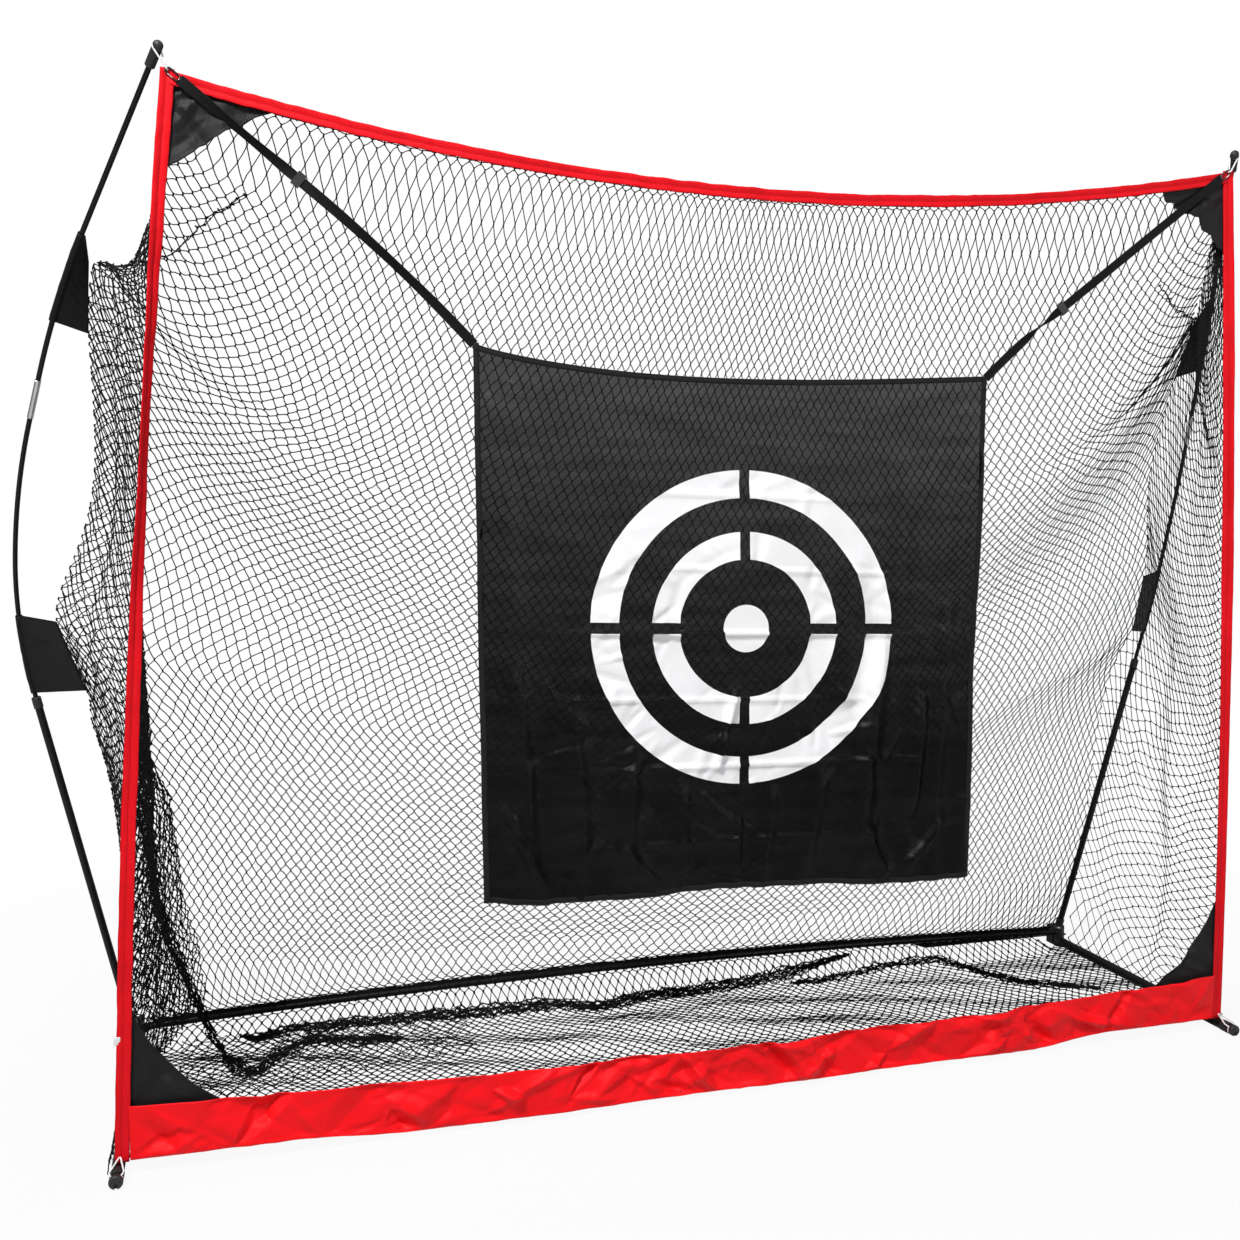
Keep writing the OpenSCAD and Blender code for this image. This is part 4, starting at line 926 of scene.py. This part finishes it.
def loose_floor(u, t):
    """Spare net lying in low heaps in the rear left corner."""
    x = mix(-1.20, -0.52, u)
    y = mix(0.26 + 0.10 * u, 0.615, t)
    z = 0.012 + 0.010 * np.sin(14 * x + 20 * y) * np.sin(23 * y) * np.sin(np.pi * t) + 0.006 * np.sin(np.pi * u)
    return np.stack([x, y, z], -1)


# name, surface, cells across and up, seed, number of parts, solid that it stands for, how it gives way
split_net("net_back_cords", back_net, 108, 60, 11, 6, "net_back", shape_back, low=0.77, power=1.1, sag=0.0008)
split_net("net_left_cords", side_net(LEFT), 10, 98, 23, 1, "net_left", shape_left, radius=0.0012)
split_net("net_right_cords", side_net(RIGHT), 14, 80, 31, 1, "net_right", shape_right, radius=0.0011)
split_net("net_floor_cords", floor_net, 112, 25, 43, 3, "net_floor", shape_floor, radius=0.0013, knot_radius=0.0032)
split_net("net_slack_cords", slack_net(SLACK_EDGE[::-1], 0.15, 1.08, 0.014), 14, 42, 53, stray=0.002)
split_net("net_inner_cords", slack_net(LEFT_FOLD[8::-1], 0.14, 1.00, 0.030), 12, 40, 57, stray=0.003)
split_net("net_heap_cords", loose_floor, 20, 6, 59, stray=0.003)
net_fold("net_fold_left", LEFT_FOLD, 7, 0.022, 0.016, 61, (0.6, -0.8, 0.0))
net_fold("net_fold_left_floor", LEFT_FLOOR_FOLD, 7, 0.036, 0.014, 62)
net_fold("net_fold_rear_floor", REAR_FLOOR_FOLD, 9, 0.044, 0.018, 63)
net_fold("net_fold_right_floor", RIGHT_FLOOR_FOLD, 5, 0.026, 0.012, 64)
for side in SIDES:
    net_fold(f"net_fold_tab_{NAMES[side]}", TAB_CREASE[side], 1, 0.007, 0.006, 66 + side, (0.3 * side, 0.0, 1.0))

# ---- stitching ----


def stitches(name, line, material, slot, body=ROOT, out=(0, -1, 0)):
    """A row of stitches along a line, each a short thread that stands a hair out of the cloth."""
    pitch, length, radius = 0.0044, 0.0029, 0.0004
    out, s = unit(out), distances(line)
    at = (np.arange(int(s[-1] / pitch)) + 0.5) * pitch
    thread = np.stack([read_line(at - length / 2, s, line) - out * radius, read_line(at, s, line) + out * radius * 0.6,
                       read_line(at + length / 2, s, line) - out * radius], 1)
    verts, faces = rings_to_mesh(round_rings(thread, np.array([0.7, 1.0, 0.7]) * radius))
    return finish_piece(mesh_piece(name, verts, faces, material), slot, body=body)


# ---- bands ----

SIDE_WIDTH, TOP_WIDTH, BAND_THICK = 0.0255, 0.0245, 0.0030

# (place across, height) round a band's outline: two flat halves with a shallow groove between them
BAND_SECTION = [(-1, 0.2), (-0.97, 0.8), (-0.86, 1), (-0.30, 0.95), (-0.16, 0.25), (0.0, 0.15), (0.10, 0.8),
                (0.84, 1), (0.96, 0.8), (1, 0.2), (1, -0.2), (0.96, -0.8), (0.8, -1), (0.1, -1), (0, -1),
                (-0.16, -1), (-0.3, -1), (-0.86, -1), (-0.97, -0.8), (-1, -0.2)]


def side_band(side):
    """Red webbing along the mouth's side, twisted nearly edge on two thirds of the way up."""
    count = 260
    z = np.linspace(BAND_FOOT[1] - 0.003, BAND_HEAD[1] + 0.004, count)
    x = band_x(z)
    middle = np.clip((z - 0.5) / 1.3, 0, 1)
    narrow = np.exp(-((z - 1.45) / 0.42) ** 2)
    wobble = noise_line(count, 40, 60 + side, 3)
    line = np.stack([side * (x + 0.0012 * wobble), mouth_y(z) + 0.0015 * wobble, z], 1)
    twist = 1.05 * narrow
    across = np.stack([side * np.cos(twist), -np.sin(twist), np.zeros(count)], 1) * side
    widths = SIDE_WIDTH * (1 + 0.04 * np.roll(wobble, 9)) + 0.002 * (1 - middle)
    name = f"band_{NAMES[side]}"
    piece = strip(name + "_webbing", line, across, BAND_SECTION, red_band, widths, BAND_THICK)
    finish_piece(piece, "red_band", name)
    face = unit(np.cross(across, np.gradient(line, axis=0)))
    face *= -np.sign(face[:, 1:2])
    seam = line + across * (0.0068 * side) + face * (BAND_THICK / 2)
    stitches(name + "_stitches", seam, red_thread, "red_band", out=face[::12].mean(0))


def top_band():
    """Puckered red webbing along the mouth's top, with two rows of stitches."""
    count = 420
    x = np.linspace(-TOP_END[0] - 0.012, TOP_END[0] + 0.012, count)
    z = top_z(x)
    pucker = noise_line(count, 70, 81, 3)
    line = np.stack([x, mouth_y(z) + 0.0018 * pucker, z + 0.0012 * np.roll(pucker, 17)], 1)
    across = np.stack([np.zeros(count), np.zeros(count), np.ones(count)], 1)
    widths = TOP_WIDTH * (1 + 0.06 * np.roll(pucker, 31))
    section = [(a, -h) for a, h in BAND_SECTION][::-1]
    piece = strip("band_top_webbing", line, across, section, red_band, widths, BAND_THICK)
    finish_piece(piece, "red_band", "band_top")
    for k, row in enumerate((-0.0095, 0.0065)):
        seam = line + across * row - np.array([0, BAND_THICK / 2, 0])
        stitches(f"band_top_stitches_{k + 1}", seam, red_thread, "red_band")


for side in SIDES:
    side_band(side)
top_band()

# ---- skirt ----


def skirt():
    """Crushed red nylon along the mouth's foot, sewn to the bands at both ends."""
    u, v = shares(30, 1120)
    half = band_x(skirt_high(HALF_W)) - 0.011
    x = mix(-half, half, u)
    wave = 0.0022 * noise_line(u.shape[1], 40, 44, 2)
    z = mix(skirt_low(x) + np.abs(wave), skirt_high(x) + wave, v)
    still = 1 - np.abs(x / half) ** 14
    sag = 0.006 * (0.5 + 0.5 * np.sin(11 * x + 1.2 * v))
    crush = crumple(x, z, 5, 190, (0.014, 0.045), (0.04, 0.13), (0.15, 1.0))
    loose = np.clip(v / 0.12, 0, 1) * np.clip((1 - v) / 0.05, 0.35, 1)
    hem = 0.0008 * (v < 0.09)
    y = mouth_y(z) - 0.0035 - still * (sag + 0.016 * crush * loose) - hem
    points = np.stack([x, y, z], -1)
    uv = np.stack([x, z - skirt_low(x)], -1)
    piece = sheet_mesh("skirt_nylon", points, 0.0010, red_nylon, uv)
    finish_piece(piece, "red_band", "skirt")
    seam = stitches("skirt_stitches", points[2] - np.array([0, 0.0002, 0]), red_thread, "red_band")


skirt()

# ---- corner patches ----


def corner_patch(node, p, q, heel, seed, hollow, ragged=0.0):
    """Cloth triangle behind the bands, with a slightly hollow long edge from p to q."""
    p, q, heel = (np.array(v, float) for v in (p, q, heel))
    rows, cols = 50, 64
    s = np.linspace(0, 1, cols)[None, :, None]
    pull = mix(mix(p, q, 0.5), heel, hollow)
    edge = mix(mix(p, pull, s), mix(pull, q, s), s)
    edge = edge + unit(heel - mix(p, q, 0.5)) * (ragged * noise_line(cols, 7, seed, 2)[:, None])
    r = np.linspace(0.02, 1, rows)[:, None, None]
    flat = mix(heel[None, None, :], edge, r)
    x, z = flat[..., 0], flat[..., 1]
    fold = crumple(x, z, seed, 26, (0.010, 0.030), (0.05, 0.14), (0.2, 1.4))
    hem = np.linspace(0, 1, rows)[:, None] > 0.94
    y = mouth_y(z) + 0.0065 + 0.0060 * fold * np.sin(np.pi * np.linspace(0.02, 0.98, cols))[None, :] - 0.0006 * hem
    points = np.stack([x, y, z], -1)
    piece = sheet_mesh(node + "_cloth", points, 0.0010, patch_cloth, np.stack([x, z], -1))
    finish_piece(piece, "dark_patch", node)
    seam = points[int(rows * 0.92)] - np.array([0, 0.0004, 0])
    stitches(node + "_cloth_stitches", seam, black_thread, "dark_patch")


for side in SIDES:
    x0 = band_x(BAND_HEAD[1]) - 0.007
    z0 = top_z(x0) - 0.006
    x1, z1 = x0 - 0.172, z0 - 0.152         # how far the cloth reaches along both bands
    corner_patch(f"patch_top_{NAMES[side]}", (side * x1, top_z(x1) - 0.010), (side * (band_x(z1) - 0.008), z1),
                 (side * x0, z0), 71 + side, 0.10, 0.014 if side == RIGHT else 0.004)
    z0 = 0.1460
    x0 = band_x(z0) - 0.007
    x1, z1 = x0 - 0.186, z0 + 0.192
    corner_patch(f"patch_foot_{NAMES[side]}", (side * (band_x(z1) - 0.008), z1), (side * x1, skirt_high(x1) - 0.010),
                 (side * x0, z0 - 0.014), 75 + side, 0.34)

# ---- rear hem ----


def rear_hem():
    """Doubled tape over the rear bar that the back net is sewn to."""
    count = 420
    end = REAR_END * 0.985
    x = np.linspace(-end, end, count)
    ripple = noise_line(count, 60, 91, 3)
    line = np.stack([x, DEPTH + 0.0006 * ripple, rear_z(x) + REAR_BAR_R + 0.0028], 1)
    across = np.tile([0.0, 0.0, 1.0], (count, 1))
    section = [(-1, -0.2), (-1, 0.2), (-0.9, 1), (-0.1, 0.9), (0.0, 0.5), (0.1, 0.9), (0.9, 1), (1, 0.3),
               (1, -0.3), (0.9, -1), (0.1, -0.9), (0, -0.5), (-0.1, -0.9), (-0.9, -1)]
    piece = strip("rear_hem_tape", line, across, section, hem_tape, 0.0056 * (1 + 0.05 * ripple), 0.0030)
    finish_piece(piece, "hem_tape", "rear_hem")


def rear_lashing():
    """Thin cord wound round the rear bar and through the tape."""
    turns, end, radius = 96, REAR_END * 0.96, REAR_BAR_R + 0.0012
    s = np.linspace(0, 1, turns * 14)
    x = mix(-end, end, s)
    a = 2 * np.pi * turns * s
    high = 0.5 + 0.5 * np.cos(a)
    z = rear_z(x) + radius * np.cos(a) + 0.004 * high ** 3
    y = DEPTH + radius * np.sin(a) * (1 - 0.55 * high ** 4)
    verts, faces = tube(np.stack([x, y, z], 1), 0.0011, 4)
    finish_piece(mesh_piece("rear_lashing", verts, faces, net_cord), "net_cord")


def rear_hem_tab():
    """Loose edge of the tape that hangs under the right end of the rear bar."""
    u, v = shares(14, 160)
    x = mix(HALF_W - 0.500, HALF_W - 0.032, u)
    high = rear_z(x) - REAR_BAR_R - 0.0008
    low = mix(rear_z(HALF_W - 0.45) - REAR_BAR_R - 0.015, 0.0330, u)
    low = mix(high - 0.0015, low, ease(u / 0.12))
    z = mix(np.minimum(low, high - 0.001), high, v)
    y = DEPTH - 0.0008 + 0.0009 * crumple(x, z, 33, 40, (0.008, 0.02), (0.02, 0.06)) * (1 - v)
    points = np.stack([x, y, z], -1)
    piece = sheet_mesh("rear_hem_tab_cloth", points, 0.0012, hem_tape, np.stack([x, z], -1))
    finish_piece(piece, "hem_tape", "rear_hem_tab")
    stitches("rear_hem_tab_stitches", points[3] - np.array([0, 0.0002, 0]), black_thread, "hem_tape")


rear_hem()
rear_lashing()
rear_hem_tab()

# ---- target sheet ----


def crease(x, z, a, b, width, height):
    """Height of a straight fold from a to b, fading at its ends."""
    a, b = np.array(a, float), np.array(b, float)
    d = b - a
    length = np.linalg.norm(d)
    d = d / length
    s = (x - a[0]) * d[0] + (z - a[1]) * d[1]
    far = (x - a[0]) * -d[1] + (z - a[1]) * d[0]
    ends = ease(s / (0.25 * length)) * ease((length - s) / (0.25 * length))
    return height * np.exp(-(far / width) ** 2) * ends


CREASES = [
    # storage creases across the sheet: from, to, half width, height
    ((-0.57, -0.284), (0.57, -0.290), 0.005, 0.0024), ((-0.30, -0.443), (0.57, -0.450), 0.005, 0.0030),
    ((-0.60, -0.583), (0.60, -0.583), 0.0045, 0.0060), ((-0.57, -0.722), (0.40, -0.730), 0.005, 0.0034),
    ((-0.57, -0.880), (0.57, -0.860), 0.005, 0.0042), ((-0.40, -1.041), (0.45, -1.030), 0.005, 0.0030),
    ((-0.008, -0.678), (-0.061, -0.896), 0.007, 0.0110), ((0.002, -0.93), (-0.010, -1.12), 0.007, 0.0060),
    # crumpling under the top edge
    ((-0.44, -0.05), (-0.02, -0.085), 0.010, 0.0090), ((-0.36, -0.075), (0.12, -0.13), 0.012, 0.0080),
    ((-0.55, -0.03), (-0.28, -0.20), 0.018, 0.0090), ((-0.56, -0.06), (-0.42, -0.34), 0.020, 0.0080),
    ((-0.20, -0.050), (0.36, -0.062), 0.009, 0.0060), ((0.54, -0.03), (0.24, -0.14), 0.018, 0.0070),
    ((0.55, -0.06), (0.38, -0.34), 0.022, 0.0090), ((0.56, -0.12), (0.50, -0.50), 0.018, 0.0070),
    # drapes that grow towards the foot
    ((0.438, -0.690), (0.415, -1.02), 0.018, 0.0190), ((0.34, -0.56), (0.28, -1.10), 0.024, 0.0140),
    ((0.50, -0.44), (0.47, -1.13), 0.020, 0.0120), ((0.26, -0.38), (0.24, -0.80), 0.030, 0.0080),
    ((0.38, -0.18), (0.37, -0.62), 0.030, 0.0080), ((0.20, -0.86), (0.15, -1.14), 0.018, 0.0100),
    ((0.08, -0.90), (0.05, -1.14), 0.018, 0.0080), ((-0.14, -0.88), (-0.13, -1.14), 0.020, 0.0100),
    ((-0.24, -0.78), (-0.27, -1.14), 0.020, 0.0110), ((-0.38, -0.70), (-0.36, -1.14), 0.024, 0.0120),
    ((-0.50, -0.60), (-0.47, -1.14), 0.020, 0.0110), ((-0.55, -0.92), (-0.43, -1.14), 0.014, 0.0090),
    ((-0.30, -1.00), (-0.18, -1.14), 0.012, 0.0080), ((0.30, -1.00), (0.36, -1.14), 0.012, 0.0080),
    ((0.52, -0.98), (0.40, -1.13), 0.014, 0.0090), ((-0.52, -0.20), (-0.50, -0.62), 0.026, 0.0070),
]
CREASE_DEPTH = 1.5          # gain on the heights of all these folds
# The sheet's corners as (x, z), by side and by 1 for the top or -1 for the foot.
SHEET_CORNERS = {(LEFT, 1): (-0.6015, 1.6260), (RIGHT, 1): (0.5511, 1.5984),
                 (RIGHT, -1): (0.5337, 0.4686), (LEFT, -1): (-0.5852, 0.4962)}


def sheet_place(x, z, y):
    """From the sheet as printed, x across and z down from the hem's middle, to the mouth's frame."""
    u, v = (x / SHEET_W + 0.5)[..., None], (1 + z / SHEET_H)[..., None]
    foot, top = (mix(np.array(SHEET_CORNERS[LEFT, end]), np.array(SHEET_CORNERS[RIGHT, end]), u) for end in (-1, 1))
    flat = mix(foot, top, v)
    return np.stack([flat[..., 0], SHEET_Y + y, flat[..., 1]], -1)


def target_sheet():
    """The printed cloth with its storage creases, crumples and drapes. Gives back its grid of points too."""
    u, v = shares(200, 200)
    x, z = SHEET_W * (u - 0.5), -SHEET_H * v
    y = 0.010 * ease(-z / 0.5) * smooth_noise(u.shape, (4, 6), 17, 2)
    for a, b, width, height in CREASES:
        y = y - crease(x, z, a, b, width, height * CREASE_DEPTH)
    y = y - 0.0031 * crumple(x, z, 21, 420, (0.008, 0.022), (0.03, 0.13), (0.1, 1.5)) * (0.6 + 0.6 * ease(-z / 0.9))
    y = y + 0.0035 * ease((-z - 0.98) / 0.16) * np.sin(x * 62 + 3 * np.sin(x * 13))
    hang = 0.041 * np.sin(np.pi * u ** 0.72) * (1 - ease(-z / 0.24))
    bottom = (0.005 * np.sin(x * 9 + 1) - 0.008 * np.exp(-((u - 0.09) / 0.06) ** 2)) * ease((-z - 0.9) / 0.24)
    points = sheet_place(x, z - hang + bottom, y * ease(-z / 0.03))
    piece = sheet_mesh("target_cloth", points[::-1], 0.0008, sheet_cloth, np.stack([x, z], -1)[::-1])
    finish_piece(piece, "sheet_cloth", "target_sheet", body="target")
    return piece, points


def sheet_hems(points):
    """Rolled hems round the sheet, as flat folded tape."""
    section = [(-1, 0), (-0.95, 0.8), (-0.55, 1), (-0.45, 0.6), (-0.35, 1), (0.9, 1), (1, 0.5), (1, -0.5),
               (0.9, -1), (-0.35, -1), (-0.45, -0.6), (-0.55, -1), (-0.95, -0.8), (-1, -0.1)]
    width = 0.012
    made = []
    for key, line, inward in (("top", points[0], (0, 0, -1)), ("foot", points[-1], (0, 0, 1)),
                              ("left", points[:, 0], (1, 0, 0)), ("right", points[:, -1], (-1, 0, 0))):
        thick = 0.0028 if key == "top" else 0.0026
        inward = np.array(inward, float)
        line = line + inward * width * 0.46 - np.array([0, 0.0002, 0])
        piece = strip(f"target_hem_{key}", line, np.tile(inward, (len(line), 1)), section, sheet_hem_cloth, width,
                      thick)
        made.append(finish_piece(piece, "sheet_hem", "target_hem", body="target"))
        seam = line + inward * width * 0.36 - np.array([0, thick / 2, 0])
        made.append(stitches(f"target_hem_{key}_stitches", seam, black_thread, "sheet_hem", "target"))
    return made


cloth, sheet_points = target_sheet()
hems = sheet_hems(sheet_points)

# ---- straps, sliders ----

STRAP_SECTION = [(-1, 0), (-0.96, 0.8), (-0.84, 1), (-0.72, 0.75), (0.72, 0.75), (0.84, 1), (0.96, 0.8), (1, 0),
                 (0.96, -0.8), (0.84, -1), (0.72, -0.75), (-0.72, -0.75), (-0.84, -1), (-0.96, -0.8)]


SLIDER_AT = 0.631           # where the left slider stands, as a share of its strap
STRAP_WIDTH, STRAP_THICK = 0.0198, 0.0017
HOOK_LENGTH = 0.028         # from the mouth's corner to the strap's end


def strap_way(side):
    """The strap's low end and its heading to the corner, on the right-hand side."""
    low = np.array([SHEET_W / 2 * math.cos(SHEET_TILT) - 0.010 + side * SHEET_X, SHEET_Y,
                    SHEET_TOP - side * SHEET_W / 2 * math.sin(SHEET_TILT) + 0.0094])
    return low, unit(CORNER - low)


def strap(side):
    """Taut webbing from the sheet's corner to the hook. It twists, but lies flat where a slider stands."""
    low, way = strap_way(side)
    high = CORNER - HOOK_LENGTH * way
    s = np.linspace(0, 1, 160)
    corner = SHEET_CORNERS[side, 1]
    start = np.array([side * corner[0] - 0.002, SHEET_Y, corner[1] - 0.004])
    reach = 0.58 if side == LEFT else 0.28      # the strap leaves the corner in a soft curve as far as this
    line = mix(low, high, s[:, None]) + (start - low) * (np.clip(1 - s / reach, 0, 1) ** 2)[:, None]
    flat = unit(np.cross([0, -1, 0], way))
    out = np.cross(way, flat)
    if side == LEFT:
        angle = 0.95 * np.exp(-((s - 0.80) / 0.16) ** 2) + 0.75 * np.exp(-((s - 0.3) / 0.24) ** 2)
        angle = angle * (1 - np.exp(-((s - SLIDER_AT) / 0.05) ** 2))
    else:
        angle = 1.15 * np.exp(-((s - 0.225) / 0.05) ** 2)
    across = flat[None, :] * np.cos(angle)[:, None] + out[None, :] * np.sin(angle)[:, None]
    line[:, 0] *= side
    across[:, 0] *= side
    piece = strip(f"strap_{NAMES[side]}_webbing", line, across, STRAP_SECTION, webbing, STRAP_WIDTH,
                  STRAP_THICK)
    finish_piece(piece, "strap_webbing", f"strap_{NAMES[side]}")


for side in SIDES:
    strap(side)

# ---- pole tabs ----


SLEEVE_R, WEB_HALF = 0.0070, 0.0010     # the sleeve round the pole, and half the web's thickness at the net


def pole_tab(side, name, z_low, z_high, net_low, net_high, seed):
    """Cloth sleeve round the pole that runs out into a web sewn to the net."""
    rows, around, web = 44, 26, 22
    cols = around + 2 * web
    s0, s1 = pole_length_at(z_low), pole_length_at(z_high)
    centre, heading = (np.array(v) for v in zip(*(pole_point(s) for s in np.linspace(s0, s1, rows))))
    net = mix(np.array(net_low), np.array(net_high), np.linspace(0, 1, rows)[:, None])
    out = net - centre
    out = unit(out - heading * (out * heading).sum(1, keepdims=True))
    side_way = np.cross(heading, out)
    u, v = shares(rows, cols)
    crush = crumple(0.16 * u, (s1 - s0) * v, seed, 40, (0.006, 0.016), (0.03, 0.09), (0.1, 1.3))
    points = np.zeros((rows, cols, 3))
    leave = math.radians(28)
    for k, a in enumerate(np.linspace(leave, 2 * np.pi - leave, around)):
        r = SLEEVE_R + 0.0004 * crush[:, web + k]
        points[:, web + k] = centre + r[:, None] * (out * math.cos(a) + side_way * math.sin(a))
    start, stop = points[:, web], points[:, web + around - 1]
    for k in range(web):
        t = (k + 1) / web
        bulge = side_way * (0.0022 * crush[:, k] * math.sin(math.pi * t))[:, None]
        points[:, web - 1 - k] = mix(start, net + side_way * WEB_HALF, t) + bulge
        points[:, web + around + k] = mix(stop, net - side_way * WEB_HALF, t) + bulge
    points[..., 0] *= side
    piece = sheet_mesh(name + "_cloth", points, 0.0008, tab_cloth, np.stack([0.15 * u, (s1 - s0) * v], -1))
    finish_piece(piece, "tab_cloth", name)


for side in SIDES:
    mid = TAB_LOW[side]
    a, b = upright_edge(mid - TAB_HALF, side), upright_edge(mid + TAB_HALF, side)
    pole_tab(side, f"pole_tab_lower_{NAMES[side]}", mid - 0.09, mid + 0.09, a, b, 101 + side)
    pole_tab(side, f"pole_tab_upper_{NAMES[side]}", TAB_HIGH[0] + 0.022, TAB_HIGH[1] + 0.044,
             upright_edge(TAB_HIGH[0], side), RIDGE_FOOT, 105 + side)

# ---- elastics and tag ----

GROOVE = np.array([1.1746, -0.0723, 2.1192])        # middle of the groove in the right pole's cap
ELASTIC_R = 0.0016
WIRE_TURN_R, GROOVE_TURN_R = 0.0034, 0.009          # of the top loop, round the hook's wire and in the groove
SIDE_BAR_Z = 0.0168
# The groove of the side bar's cap, and how far the loop stands off the bar's middle in it and before it.
FOOT_GROOVE_Y, FOOT_TURN_R, FOOT_SIDE_R = -0.047, 0.0120, 0.0175


def elastic(name, line):
    """A closed loop of round white elastic."""
    verts, faces = tube(line, ELASTIC_R * (1 + 0.04 * np.sin(np.arange(len(line)) * 1.3)), 10, closed=True)
    return finish_piece(mesh_piece(name + "_cord", verts, faces, white_elastic), "white_elastic", name)


def top_elastic(side):
    """Loop from the hook's top wire over the groove of the pole's cap."""
    way = strap_way(side)[1]
    flat = unit([-way[1], way[0], 0])
    away, across = np.array([0.3829, 0.1478, 0.9119]), np.array([0.7001, -0.6905, -0.1820])
    down = [CORNER + WIRE_TURN_R * (-way * math.cos(a) - flat * math.sin(a))
            for a in np.radians(np.arange(-90, 91, 15))]
    over = [GROOVE + GROOVE_TURN_R * (away * math.cos(a) + across * math.sin(a))
            for a in np.radians(np.arange(90, -91, -12))]
    rise, fall = ([mix(a, b, t) for t in (0.2, 0.4, 0.6, 0.8)] for a, b in ((down[-1], over[0]), (over[-1], down[0])))
    line = np.array(down + rise + over + fall)
    line[:, 0] *= side
    elastic(f"top_elastic_{NAMES[side]}", line)


def foot_elastic(side):
    """Loop from the band's foot round the groove of the side bar's cap."""
    around = [np.array([HALF_W + FOOT_TURN_R * math.sin(a), FOOT_GROOVE_Y, SIDE_BAR_Z + FOOT_TURN_R * math.cos(a)])
              for a in np.radians(np.linspace(50, 310, 30))]
    start = np.array([HALF_W - 0.004, -0.0065, BAND_FOOT[1] + 0.008])
    bight = [start + 0.0021 * np.array([math.sin(a), 0.9 * math.cos(a), 0.2 * math.cos(a)])
             for a in np.radians(np.arange(-90, 91, 15))]
    turn = math.radians(50)
    first, last = (np.array([HALF_W + k * FOOT_SIDE_R * math.sin(turn), FOOT_GROOVE_Y + 0.009,
                             SIDE_BAR_Z + FOOT_SIDE_R * math.cos(turn)]) for k in (-1, 1))
    line = np.array([mix(first, bight[0], t) for t in (0, 0.33, 0.66)] + bight
                    + [mix(bight[-1], last, t) for t in (0.33, 0.66, 1)] + around)
    line[:, 0] *= side
    piece = elastic(f"foot_elastic_{NAMES[side]}", line)
    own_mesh(piece)


def blank_tag():
    """Small folded label of white tape sewn into the left band's outer edge."""
    z0, wide, tall = 0.268, 0.012, 0.016
    u, v = shares(14, 12)
    z = z0 + tall * v + 0.0004 * np.sin(3 * u)
    x = -(band_x(z0) + 0.0125 - 0.007 + wide * u)
    y = mouth_y(z) - 0.0018 - 0.0016 * u ** 2 + 0.0003 * np.sin(5 * v + 2 * u)
    uv = np.stack([u * wide, v * tall], -1)
    piece = sheet_mesh("blank_tag_tape", np.stack([x, y, z], -1), 0.0005, tag_cloth, uv)
    finish_piece(piece, "white_tag", "blank_tag")


for side in SIDES:
    top_elastic(side)
    foot_elastic(side)
    NODES[f"strap_slider_{NAMES[side]}"].material_slots[0].material = black_plastic
blank_tag()
